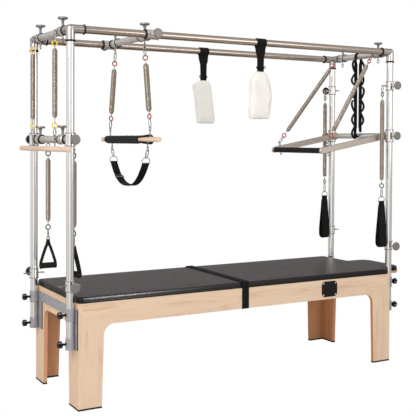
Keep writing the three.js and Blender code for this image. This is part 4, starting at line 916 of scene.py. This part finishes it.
grip_rod = [(0.0, 0.012), (2 * arm_y, 0.012)]
arms, arm_eyes = [turned(grip_at - Vector((0, arm_y, 0)), (0, 1, 0), grip_rod, 32)], []
for side in (-1, 1):
    arms.append(flat_arm(side * arm_y))
    hub_start = hub_at + Vector((0, side * arm_y - arm_thick / 2 - 0.001, 0))
    arms.append(hollow(hub_start, (0, 1, 0), arm_thick + 0.002, push_tube + 0.0006, hub_radius, 0.0015, 48))
    root = hub_at + arm_way * eye_along + Vector((0, side * arm_y, 0))
    arm_eyes += eye(root, arm_up, push_eye_reach, (1, 0, 0)) + eye(root, -arm_up, push_eye_reach, (1, 0, 0))
piece("push_bar_arms", arms, satin, "push_bar", ["push_bar_frame"])
piece("push_bar_eyes", arm_eyes, bright, "push_bar")

foam, tree, shader = finish("black_foam", paint(18, 17, 17), 0.9, Sheen_Weight=0.05, Specular_IOR_Level=0.2)
foam_cells = node(tree, "TexVoronoi", {"Vector": node(tree, "TexCoord").outputs["Object"], "Scale": 900.0})
foam_depth = foam_cells.outputs["Distance"]
tree.links.new(ramp(tree, foam_depth, [(0.0, paint(14, 14, 14)), (0.7, paint(30, 29, 29))]),
               shader.inputs["Base Color"])
rough_skin(tree, shader, foam_depth, 0.0007, 0.6)


def foam_sleeve(start, length, outer, inner, wobble, seed):
    """A foam tube along Y with soft round ends, a little uneven along its length."""
    dice = random.Random(seed)
    ends = both_ends(length, [(0.0, inner), (0.0, outer - 0.006), (0.0015, outer - 0.0025), (0.005, outer)])
    steps = max(4, round(length / 0.03))
    middle = [(length * k / steps, outer + dice.uniform(-wobble, wobble)) for k in range(1, steps)]
    return turned(start, (0, 1, 0), ends[:4] + middle + ends[4:], 48, True)


grip_half, grip_radius, grip_bore = 0.268, 0.0190, 0.0122
piece("push_bar_foam",
      [foam_sleeve(grip_at - Vector((0, grip_half, 0)), 2 * grip_half, grip_radius, grip_bore, 0.0002, 4)],
      foam, "push_bar", ["push_bar_grip"])


# Post collars: short bright sleeves that slide on the posts, with a disc knob outside and flat eyes.
# The upper right pair carries the foot loops; the others are free to take more springs.
collar_radius, collar_half, collar_eye_reach, collar_wall, neck_in = 0.028, 0.032, 0.066, 0.026, 0.026
for name, x, side, eye_ways in (
        ("front_left_collar", left_x, -1, (-1, 1)), ("rear_left_collar", left_x, 1, (-1, 1)),
        ("front_right_low_collar", right_x, -1, ()), ("rear_right_low_collar", right_x, 1, (1,)),
        ("front_right_high_collar", right_x, -1, (-1, 1)), ("rear_right_high_collar", right_x, 1, (-1, 1))):
    low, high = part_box(name)
    z = high[2] - collar_half if high[2] - low[2] < 0.066 else (low[2] + high[2]) / 2
    at, outward = (x, side * rear_y, z), (0, side, 0)
    piece(f"{name}_sleeve", [runner(at, (0, 0, 1), collar_radius, collar_half),
                             knob_neck(at, outward, lock_reach, neck_in)],
          post_steel, name, [name])
    piece(f"{name}_knob", [disc_knob(at, outward, lock_reach)]
          + edge_lines(at, (0, 0, 1), collar_radius, collar_half), dark_alloy, name)
    piece(f"{name}_knob_back", [shaded_disc_back(at, outward, lock_reach)], rubber, name)
    eyes = [shape for way in eye_ways
            for shape in eye((x + way * collar_wall, at[1], z), (way, 0, 0), collar_eye_reach - collar_wall,
                             (0, 0, 1))]
    if eyes:
        piece(f"{name}_eyes", eyes, bright, name)


# Springs: close-wound steel coils with drawn-in ends, coloured rings, and snap hooks to the eyes.
# Each coil is one wire wound turn by turn; the colours tell the user the spring's strength.
# The wire is tinted brown: painted reflection of warm surroundings.
coil_steel = grained("spring_wire", paint(192, 178, 164), 0.24, 0.38, 30.0, 4.0, 1.0, None,
                     (30.0, 4.0, (0.3, paint(184, 169, 154)), (0.7, paint(200, 186, 172))), True)
yellow, red, green = [grained(f"{name}_enamel", colour, 0.24, 0.4, 160.0, relief=(0.0002, 0.3),
                              Coat_Weight=0.6, Coat_Roughness=0.12)
                      for name, colour in (("yellow", paint(230, 204, 74)), ("red", paint(178, 26, 42)),
                                           ("green", paint(30, 118, 70)))]
coil_radius, stout_coil_radius, coil_wire, coil_pitch, coil_taper = 0.0135, 0.0155, 0.0014, 0.0029, 0.018
spring_ring, spring_ring_wire, hook_wire, end_loop, end_wire = 0.0140, 0.0038, 0.0027, 0.0050, 0.0018


def coil_path(start, way, length, radius):
    """The wire's middle line: turns that widen, even turns, and turns that narrow."""
    way, across, beside = crossways(way)
    steps_per_turn = 18
    steps = round(length / coil_pitch) * steps_per_turn
    path = []
    for i in range(steps + 1):
        along = length * i / steps
        swell = min(1.0, 0.3 + 0.7 * math.sqrt(max(0.0, min(along, length - along) / coil_taper)))
        turn = 2 * math.pi * i / steps_per_turn
        path.append(Vector(start) + way * along
                    + (across * math.cos(turn) + beside * math.sin(turn)) * radius * swell)
    return path


def snap_hook(top, bottom, axis, width=0.0088):
    """A pear-shaped snap hook that goes round the wire of an eye at its top and of a ring at its bottom."""
    top, bottom = Vector(top), Vector(bottom)
    length = (bottom - top).length
    along = (bottom - top).normalized()
    side = along.cross(Vector(axis)).normalized()
    loop = []
    for turn in (2 * math.pi * k / 40 for k in range(40)):
        share = 0.5 - 0.5 * math.cos(turn)
        broad = width * (1.0 - 0.42 * share) * math.copysign(abs(math.sin(turn)) ** 0.8, math.sin(turn))
        loop.append(top + along * length * share + side * broad)
    gate = both_ends(0.014, [(0.0, hook_wire), (0.001, hook_wire * 1.35)])
    return [swept(loop, hook_wire, 12, True),
            turned(top + along * (length * 0.5 - 0.007) - side * width * 0.72, along, gate, 14)]


def wire_link(start, stop, wire):
    return turned(start, stop - start, [(0.0, wire), ((stop - start).length, wire)], 12)


def hung_spring(name, upper, lower, places, colour, body, axis, ring_axes, low_body=None, low_hook=True,
                radius=coil_radius):
    """A whole spring between two eyes. Its places are those of the rings and the coil's ends."""
    upper, lower = Vector(upper), Vector(lower)
    way = (lower - upper).normalized()
    length = (lower - upper).length
    ring_up, coil_up, coil_low, ring_low = places[0], places[1], length - places[2], length - places[3]
    low_body = low_body or body
    hook_over, hook_in = 0.0018 + eye_wire, spring_ring - 0.0050
    path = coil_path(upper + way * coil_up, way, coil_low - coil_up, radius)
    coil = piece(f"{name}_coil", [swept(path, coil_wire, 7)], coil_steel, body, [name], 80)
    hooks = [snap_hook(upper - way * hook_over, upper + way * (ring_up - hook_in), axis),
             snap_hook(lower + way * hook_over, upper + way * (ring_low + hook_in), axis) if low_hook else []]
    for level, coil_end, ring_place, outward, ring_axis, rides, hook in (
            ("upper", coil_up, ring_up, -1, ring_axes[0], body, hooks[0]),
            ("lower", coil_low, ring_low, 1, ring_axes[1], low_body, hooks[1])):
        ring_axis = (Vector(ring_axis) - way * Vector(ring_axis).dot(way)).normalized()
        loop_at = upper + way * (ring_place - outward * (spring_ring + 0.003))
        tail = wire_link(upper + way * (coil_end - outward * 0.004), loop_at - way * outward * 0.0046,
                         end_wire)
        piece(f"{name}_{level}_ring",
              [torus(upper + way * ring_place, ring_axis, spring_ring, spring_ring_wire)],
              colour, rides)
        piece(f"{name}_{level}_hook",
              hook + [tail, torus(loop_at, ring_axis.cross(way), end_loop, end_wire, 20, 8)],
              bright, rides)
    return coil


# Roll-down bar: a maple dowel on two yellow springs, which hang from the outer eyes of the left end bar.
# The dowel's ends are rounded, and a wire eye on a long shank comes up at each spring.
dowel_maple = maple("maple_dowel", "Y", paint(228, 203, 180), paint(224, 196, 170), paint(214, 182, 154))
dowel_radius, eye_seat = 0.015, 0.013


def dowel(x, z, half):
    ends = [(0.0, 0.009), (0.0008, 0.012), (0.003, 0.0143), (0.006, dowel_radius)]
    return turned((x, -half, z), (0, 1, 0), both_ends(2 * half, ends), 40)


def dowel_eyes(x, z, eye_y, reach, up=1):
    """A pair of eyes seated in a dowel, above it or below it."""
    return [shape for side in (-1, 1)
            for shape in eye((x, side * eye_y, z + up * eye_seat), (0, 0, up), reach - eye_seat, (1, 0, 0))]


roll_low, roll_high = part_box("roll_down_bar")
roll_x, roll_z, roll_half, roll_rise = left_x - eye_outward, roll_low[2] + dowel_radius, roll_high[1], 0.079
piece("roll_down_dowel", [dowel(roll_x, roll_z, roll_half)], dowel_maple, "roll_down",
      ["roll_down_bar"])
piece("roll_down_eyes", dowel_eyes(roll_x, roll_z, end_fitting, roll_rise), bright, "roll_down")
for name, side in (("front_roll_down_spring", -1), ("rear_roll_down_spring", 1)):
    hung_spring(name, (roll_x, side * end_fitting, canopy_z),
                (roll_x, side * end_fitting, roll_z + roll_rise),
                (0.073, 0.099, 0.098, 0.055), yellow, "roll_down", (0, 1, 0), ((0.3, 0.95, 0), (0.4, 0.9, 0)))


# Trapeze: a maple dowel in a black foam cover on two splayed springs with red rings.
# The cover has been slid to one side and one end of it stands open round the dowel.
trapeze_z, trapeze_half, trapeze_spring_y, trapeze_rise = 1.525, 0.429, 0.301, 0.075
sling_eye_y, sling_eye_drop = 0.270, 0.069
piece("trapeze_dowel", [dowel(carriage_x, trapeze_z, trapeze_half)], dowel_maple, "trapeze",
      ["trapeze_bar"])
piece("trapeze_eyes", dowel_eyes(carriage_x, trapeze_z, trapeze_spring_y, trapeze_rise)
      + dowel_eyes(carriage_x, trapeze_z, sling_eye_y, sling_eye_drop, -1), bright, "trapeze")
cover_low, cover_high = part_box("trapeze_cover")
cover_radius, cover_bore, open_part = 0.0240, 0.0158, 0.126
sleeve_y = cover_low[1] + open_part
open_y, open_end = sleeve_y + 0.004, cover_low[1] - 0.008
open_rows = []
for share in (i / 14 for i in range(15)):
    radius, thick = cover_radius + 0.0065 * share ** 1.5, 0.0060 - 0.0015 * share
    opening = math.radians(35 + 38 * share)
    row = []
    for level, turns in ((radius, range(21)), (radius - thick, range(20, -1, -1))):
        for turn in (math.pi + opening + (2 * math.pi - 2 * opening) * k / 20 for k in turns):
            out = level + 0.0012 * share * math.sin(5 * turn + 7 * share)
            row.append((carriage_x + out * math.cos(turn), open_y + (open_end - open_y) * share,
                        trapeze_z + out * math.sin(turn)))
    open_rows.append(row)
seam_ridge = [(carriage_x - 0.004, sleeve_y + 0.012 + (cover_high[1] - sleeve_y - 0.03) * k / 60,
               trapeze_z - cover_radius - 0.0004 - 0.0016 * math.sin(2 * math.pi * k / 3.0))
              for k in range(61)]
piece("trapeze_foam_cover",
      [foam_sleeve((carriage_x, sleeve_y, trapeze_z), cover_high[1] - sleeve_y, cover_radius,
                   cover_bore, 0.0010, 9), stack(open_rows), swept(seam_ridge, 0.0022, 8)],
      foam, "trapeze", ["trapeze_cover"])
for name, side, low_axis in (("front_trapeze_spring", -1, (0.95, 0.3, 0)),
                             ("rear_trapeze_spring", 1, (0.85, 0.55, 0))):
    hung_spring(name, (carriage_x, side * carriage_fitting, canopy_z - eye_down),
                (carriage_x, side * trapeze_spring_y, trapeze_z + trapeze_rise), (0.063, 0.098, 0.091, 0.061),
                red, "trapeze", (0, 1, 0), ((0.5, 0.86, 0), low_axis), radius=stout_coil_radius)


# Sling under the trapeze: webbing between two wire rings, doubled through a slide buckle towards the rear.
# It hangs in one deep curve and snaps to the lower eyes of the dowel.
sling_width, sling_thick, sling_top_y, sling_top_drop, sling_depth = 0.048, 0.0045, 0.243, 0.074, 0.217
sling_z, buckle_share, buckle_wire = trapeze_z - sling_eye_drop, 0.63, 0.0022


def sling_line(first, last, count, outset=0.0):
    """Places along the sling's curve, from share to share, where -1 and 1 are its ends."""
    places = []
    for share in (first + (last - first) * k / count for k in range(count + 1)):
        drop = sling_depth - (sling_depth - sling_top_drop) * abs(share) ** 2.5
        steepness = (sling_depth - sling_top_drop) * 2.5 * abs(share) ** 1.5
        slope = steepness * math.copysign(1, share) / sling_top_y
        places.append(Vector((carriage_x, sling_top_y * share, sling_z - drop))
                      + Vector((0, slope, -1)).normalized() * outset)
    return places


def d_ring(foot, up, tall):
    """A D-shaped wire ring: straight where the webbing goes round it, bowed on the other side."""
    foot, side, up, half = Vector(foot), Vector((1, 0, 0)), Vector(up), 0.0265
    path = [foot - side * (half * 0.9), foot, foot + side * (half * 0.9)]
    for turn in (math.pi * k / 20 for k in range(1, 20)):
        path.append(foot + side * half * math.cos(turn)
                    + up * (0.003 + (tall - 0.003) * math.sin(turn) ** 0.8))
    return swept(path, 0.0024, 12, True)


sling_lengths = [(sling_line(-1, 1, 60), sling_width, sling_thick),
                 (sling_line(-0.15, buckle_share - 0.02, 24, -0.0048), sling_width, sling_thick)]
sling_lengths += [(sling_line(first, last, 8, -0.0042), sling_width - 0.004, 0.0038)
                  for first, last in ((-1, -0.78), (0.78, 1))]
sling_band = piece("sling_band",
                   [band(path, (1, 0, 0), width, thick) for path, width, thick in sling_lengths],
                   webbing, "sling", ["sling"])
sling_metal = []
for side in (-1, 1):
    hook_top = Vector((carriage_x, side * sling_eye_y, sling_z + 0.0018 + eye_wire))
    ring_foot = Vector((carriage_x, side * sling_top_y, sling_z - sling_top_drop + 0.001))
    sling_metal.append(d_ring(ring_foot, (0, side * 0.12, 0.993), 0.034))
    sling_metal += snap_hook(hook_top, ring_foot + Vector((0, side * 0.004, 0.0305)), (0, 1, 0), 0.0095)
buckle = sling_line(buckle_share - 0.045, buckle_share + 0.045, 2, -0.0045)
half_wide = Vector((sling_width / 2 + 0.004, 0, 0))
buckle_start = (buckle[0] + buckle[2]) / 2 - half_wide
buckle_frame = round_path([buckle_start, buckle[0] - half_wide, buckle[0] + half_wide, buckle[2] + half_wide,
                           buckle[2] - half_wide, buckle_start], 0.004, 4)
sling_metal.append(swept(buckle_frame[:-1], buckle_wire, 10, True))
sling_metal.append(wire_link(buckle[1] - half_wide, buckle[1] + half_wide, buckle_wire))
piece("sling_rings", sling_metal, bright, "sling")


# Handles: webbing legs from a ring down to a foam grip, one under the crossbar and one at its corner.
# Each hangs on a spring with green rings, and its grip turns with the plane of its eye.
handle_length, handle_height, grip_reach, hand_grip = 0.535, 0.172, 0.047, 0.0175
handle_width, leg_thick, fork_thick, handle_overhang = 0.028, 0.0135, 0.019, 0.006


def handle(name, top, hook_way, across):
    """A spring and its handle; across is the direction of the grip's tube."""
    body = f"{name}_handle_set"
    top, across, up = Vector(top), Vector(across).normalized(), Vector((0, 0, 1))
    low, flat = top - up * handle_length, across.cross(up)
    hung_spring(f"{name}_handle_spring", top, low, (0.036, 0.066, 0.091, 0.057), green, body, hook_way,
                (flat, flat))
    piece(f"{name}_handle_ring", [torus(low - up * 0.009, flat, 0.009, 0.0025)], bright, body)
    neck, fork, middle = low - up * 0.016, low - up * 0.046, low - up * handle_height
    shapes = [band([neck, neck - up * 0.004, fork, fork - up * 0.006], flat, handle_width, fork_thick)]
    for outward in (-across, across):
        foot = middle + outward * (grip_reach - 0.001)
        leg = foot - fork
        path = [fork + up * 0.016 + outward * 0.004, fork + outward * 0.007]
        path += [fork + leg * share + outward * out
                 for share, out in ((0.14, 0.0085), (0.5, 0.008), (0.84, 0.006))]
        path += [foot - up * drop - outward * turn_in
                 for drop, turn_in in ((-0.006, 0.0), (0.004, 0.0), (0.0105, 0.0015), (0.0155, 0.005))]
        shapes.append(band(path, flat, handle_width, leg_thick))
    piece(f"{name}_handle_webbing", shapes, webbing, body, [f"{name}_handle"])
    half = grip_reach + handle_overhang
    grip = both_ends(2 * half, [(0.0, 0.008), (0.0015, 0.0135), (0.005, hand_grip)])
    piece(f"{name}_handle_grip", [turned(middle - across * half, across, grip, 40)], foam, body)


handle("rear", (left_x, handle_eye_y, crossbar_z - eye_outward), (1, 0, 0), (1, 0, 0))
handle("front", corner_root + corner_way * corner_eye_reach, (0.734, -0.679, 0), (0.36, -0.933, 0))


# Springs of the push-through bar: from the inner eyes of the right end bar down to the frame's upper eyes.
# Their coils stretch as the bar swings, and a long link joins each lower ring to its eye.
frame_eye = hub_at + arm_way * eye_along + arm_up * push_eye_reach
push_places = (0.070, 0.104, 0.100, 0.062)
for name, side, up_axis in (("front", -1, (-0.2, 0.98, 0)), ("rear", 1, (0.2, 0.98, 0))):
    upper = Vector((right_x - eye_outward, side * end_fitting, canopy_z))
    lower = Vector((frame_eye.x, side * arm_y, frame_eye.z))
    way, length = (lower - upper).normalized(), (lower - upper).length
    coil = hung_spring(f"{name}_push_spring", upper, lower, push_places, red, "push_springs", (0, 1, 0),
                       (up_axis, (0.3, 0.95, 0)), "push_links", False)
    coil.parent = None
    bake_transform(coil)
    link_top = upper + way * (length - push_places[3] + spring_ring - 0.0045)
    piece(f"{name}_push_snap", snap_hook(lower + way * (0.0035 + eye_wire), link_top, (0, 1, 0)), bright,
          "push_links", [f"{name}_push_link"])


# Foot loops: webbing loops on long springs from the upper right collars, widest near the foot.
# Each is one band that runs down, round the foot and up again, with its two sides close together.
foot_length, foot_height, foot_gap, foot_thick = 0.769, 0.352, 0.020, 0.006
foot_eye_z, foot_start = 1.906, 0.030
foot_outline = ((0.0, 0.044, 0.0), (0.10, 0.044, 0.0), (0.118, 0.053, 0.001), (0.3, 0.057, 0.004),
                (0.55, 0.063, 0.011), (0.8, 0.067, 0.018), (0.93, 0.063, 0.020), (1.0, 0.050, 0.0))
soft_rims = (0.004, 0.0012)


def between_rows(rows, share):
    """The values of a table of rows at a share of its length, read between the nearest two rows."""
    for before, after in zip(rows, rows[1:]):
        if share <= after[0]:
            part = (share - before[0]) / (after[0] - before[0])
            return [a + (b - a) * part for a, b in zip(before[1:], after[1:])]
    return list(rows[-1][1:])


for name, side, low_axis in (("front", -1, (0.5, 0.86, 0)), ("rear", 1, (0.98, -0.1, 0))):
    y, body = side * rear_y, f"{name}_foot_set"
    top = Vector((right_x - collar_eye_reach, y, foot_eye_z))
    low = top - Vector((0, 0, foot_length))
    hung_spring(f"{name}_foot_spring", top, low, (0.059, 0.097, 0.113, 0.075), green, body, (0, 1, 0),
                ((0.98, -0.17, 0), low_axis))
    piece(f"{name}_foot_ring", [d_ring(low - Vector((0, 0, 0.033)), (0, 0, 1), 0.0345)], bright, body)
    half_path, half_widths = [], []
    for share in [k / 26 for k in range(25)] + [0.955, 0.975, 0.99, 0.998]:
        width, gap = between_rows(foot_outline, share)
        if share > 0.93:
            gap = foot_gap * math.sqrt(max(0.0, 1 - ((share - 0.93) / 0.07) ** 2))
        fall = foot_start + (foot_height - foot_thick / 2 - foot_start) * share
        half_path.append((gap + foot_thick / 2 + 0.0002, low.z - fall))
        half_widths.append(width)
    path = [(low.x, y - gap, z) for gap, z in half_path] + [(low.x, y + gap, z) for gap, z in half_path[::-1]]
    foot_widths = half_widths + half_widths[::-1]
    foot_band = piece(f"{name}_foot_band", [band(path, (1, 0, 0), foot_widths, foot_thick, rims=soft_rims)],
                      webbing, body, [f"{name}_foot_loop"])


# Fleece cuffs: folded pads of white pile for a wrist or thigh, hung on webbing from the long tubes.
# The cloth solver swells each lumpy pad. Its dark strap loops over the tube, with a keeper and a small ring.
fleece, tree, shader = finish("white_fleece", paint(252, 250, 246), 0.95, Sheen_Weight=0.5,
                              Sheen_Roughness=0.7)
pile_place = node(tree, "TexCoord").outputs["Object"]
tufts = node(tree, "TexVoronoi", {"Vector": pile_place, "Scale": 150.0}).outputs["Distance"]
pile = reckon(tree, "SUBTRACT", noise(tree, 260.0, 6.0, pile_place, Roughness=0.7), tufts)
pile_tone = ramp(tree, pile, [(0.0, paint(236, 232, 225)), (0.45, paint(253, 251, 248))])
tree.links.new(pile_tone, shader.inputs["Base Color"])
rough_skin(tree, shader, pile, 0.0022, 0.5)
cuff_height, cuff_half_wide, cuff_half_thick = 0.300, 0.075, 0.0215
cuff_strap_thick, keeper_width = 0.0042, 0.016
cuff_outlines = {
    "front": ((0.0, -0.030, 0.030, 0.5), (0.03, -0.042, 0.040, 0.85), (0.20, -0.072, 0.066, 1.0),
              (0.36, -0.074, 0.080, 1.0), (0.6, -0.077, 0.081, 1.05), (0.85, -0.079, 0.073, 1.05),
              (0.97, -0.077, 0.068, 0.95), (1.0, -0.068, 0.060, 0.6)),
    "rear": ((0.0, -0.028, 0.030, 0.5), (0.04, -0.048, 0.046, 0.85), (0.13, -0.082, 0.055, 1.0),
             (0.30, -0.072, 0.066, 1.0), (0.6, -0.058, 0.078, 1.05), (0.85, -0.050, 0.086, 1.0),
             (0.97, -0.047, 0.087, 0.92), (1.0, -0.040, 0.078, 0.6)),
}
strap_front = ((0.15, 0.050), (0.118, 0.052), (0.094, 0.054), (0.084, 0.058), (0.074, 0.066), (0.060, 0.071),
               (0.048, 0.072))
strap_back = ((0.048, 0.070), (0.062, 0.066), (0.076, 0.056), (0.090, 0.044))


def cuff_form(centre, top, rows_table, seed):
    """A folded fleece pad: level sections with a flat front and back and round edges."""
    dice = random.Random(seed)
    waves = [[dice.uniform(*span) for span in ((20, 70), (15, 50), (0, 6.3))] for _ in range(6)]
    base_loop = spread_outline(cuff_half_wide, cuff_half_thick, 0.010, 5, 0.006)
    rows = []
    for share in (i / 48 for i in range(49)):
        left, right, thick = between_rows(rows_table, share)
        middle, half = (left + right) / 2, (right - left) / 2
        z = top - cuff_height * share
        row = []
        for bx, by in base_loop:
            x, y = middle + half * bx / cuff_half_wide, by * thick
            lump = 0.0016 * sum(math.sin(ax * x + az * z + phase) for ax, az, phase in waves) / 3
            row.append((centre[0] + x * (1 + 4 * lump), centre[1] + y * (1 + 40 * lump), z + lump))
        rows.append(row)
    return stack(rows)


def bake_shape(obj):
    """Keeps an object's shape as its modifiers make it, and removes them."""
    shaped = bpy.data.meshes.new_from_object(obj.evaluated_get(bpy.context.evaluated_depsgraph_get()))
    for modifier in list(obj.modifiers):
        obj.modifiers.remove(modifier)
    obj.data = shaped


def puff(pad, pressure, cap):
    """Swells a pad as a filled cloth skin: remeshed, blown up by the cloth solver, held within a cap."""
    grid = pad.modifiers.new("even_mesh", "REMESH")
    grid.mode, grid.voxel_size = "VOXEL", 0.006
    bake_shape(pad)
    before = [vertex.co.copy() for vertex in pad.data.vertices]
    settings = pad.modifiers.new("skin", "CLOTH").settings
    settings.use_pressure = True
    settings.uniform_pressure_force = pressure
    settings.effector_weights.gravity = 0.0
    settings.tension_stiffness = settings.compression_stiffness = 20.0
    settings.bending_stiffness = 2.0
    for step in range(1, 13):
        scene.frame_set(step)
    bake_shape(pad)
    scene.frame_set(1)
    for vertex, start in zip(pad.data.vertices, before):
        moved = vertex.co - start
        if moved.length > cap:
            vertex.co = start + moved.normalized() * cap
    pad.data.shade_smooth()


for name, x, y, pad_drop, seed, ring_side in (("front", 0.092, front_y, 0.182, 12, 1),
                                              ("rear", 0.040, rear_y, 0.201, 21, -1)):
    centre, body = Vector((x + bed_middle, y, canopy_z)), f"{name}_cuff"
    pad = piece(f"{name}_cuff_pad", [cuff_form(centre, canopy_z - pad_drop, cuff_outlines[name], seed)],
                fleece, body, [f"{name}_fleece_cuff"], 60)
    puff(pad, 3.0, 0.005)
    nap = pad.modifiers.new("finer_mesh", "SUBSURF")
    nap.levels = nap.render_levels = 1
    loop_radius = tube_radius + 0.0006 + cuff_strap_thick / 2
    line = [(-0.0035, -drop, width) for drop, width in ((pad_drop + 0.016, 0.050),) + strap_front]
    for turn in (math.pi * 1.5 - 0.55 - (2 * math.pi - 1.1) * k / 28 for k in range(29)):
        line.append((loop_radius * math.cos(turn), loop_radius * math.sin(turn), 0.070))
    line += [(0.0022, -drop, width) for drop, width in strap_back]
    path = [(centre.x, y + dy, canopy_z + dz) for dy, dz, _ in line]
    widths = [width for _, _, width in line]
    keeper_z = canopy_z - pad_drop + 0.024
    keeper = [(centre.x + dx, y + dy, keeper_z)
              for dx, dy in ((-0.0275, -0.0075), (0.0275, -0.0075), (0.0275, 0.003), (-0.0275, 0.003))]
    keeper_path = round_path(keeper + keeper[:1], 0.003, 4)
    cuff_strap = piece(f"{name}_cuff_strap", [band(path, (1, 0, 0), widths, cuff_strap_thick, rims=soft_rims),
                                              band(keeper_path[:-1], (0, 0, 1), keeper_width, 0.0026, True)],
                       webbing, body)
    piece(f"{name}_cuff_ring",
          [torus((centre.x + ring_side * 0.0285, y - 0.009, keeper_z + 0.004), (0.3, 0.95, 0),
                 0.0062, 0.0017, 28, 10)], bright, body)


# Strap of hand loops: webbing folded over the right end bar, with loops sewn to the outside of both ends.
# Two more lengths lie inside each end. Each loop is a short length that bows out between two seams.
loop_y, loop_width, loop_thick, loop_pitch, loop_bulge = 0.019, 0.028, 0.0038, 0.097, 0.026
loop_first, loop_tail, left_count, right_count, narrow_width = 0.022, 0.047, 6, 5, 0.024
inner_face = tube_radius + 0.00075 + loop_thick / 2
left_end = canopy_z - loop_first - left_count * loop_pitch
right_end = canopy_z - loop_first - right_count * loop_pitch - loop_tail
main_path = [(right_x - inner_face, loop_y, left_end)]
main_path += [(right_x + inner_face * math.cos(turn), loop_y, canopy_z + inner_face * math.sin(turn))
              for turn in (math.pi * (1 - k / 16) for k in range(17))]
main_path.append((right_x + inner_face, loop_y, right_end))
short_paths = []
for side, layer, end_z in ((1, 1, right_end + 0.012), (1, 2, right_end + 0.030), (-1, 1, left_end + 0.015),
                           (-1, 2, left_end + 0.080)):
    layer_x = right_x + side * (inner_face - layer * (loop_thick + 0.0004))
    short_paths.append(([(layer_x, loop_y, canopy_z - 0.028 - 0.012 * layer), (layer_x, loop_y, end_z)], 1.0))
for side, i in [(-1, i) for i in range(left_count)] + [(1, i) for i in range(right_count)]:
    bow = loop_bulge * (1 + 0.16 * math.sin(2.7 * i + 1.3 * side))
    lean = 1 + 0.35 * math.sin(1.9 * i + side)
    base, top = right_x + side * (inner_face + loop_thick * 0.9), canopy_z - loop_first - i * loop_pitch
    short_paths.append(([(base + side * bow * math.sin(math.pi * share ** lean) ** 0.85, loop_y,
                          top - loop_pitch * (0.03 + 0.94 * share))
                         for share in (k / 14 for k in range(15))], 0.6))
loop_shapes = [band(main_path, (0, 1, 0), loop_width, loop_thick)]
loop_shapes += [band(path, (0, 1, 0), narrow_width, loop_thick * share) for path, share in short_paths]
loop_strap = piece("hand_loop_strap", loop_shapes, webbing, "hand_loops", ["loop_strap"])
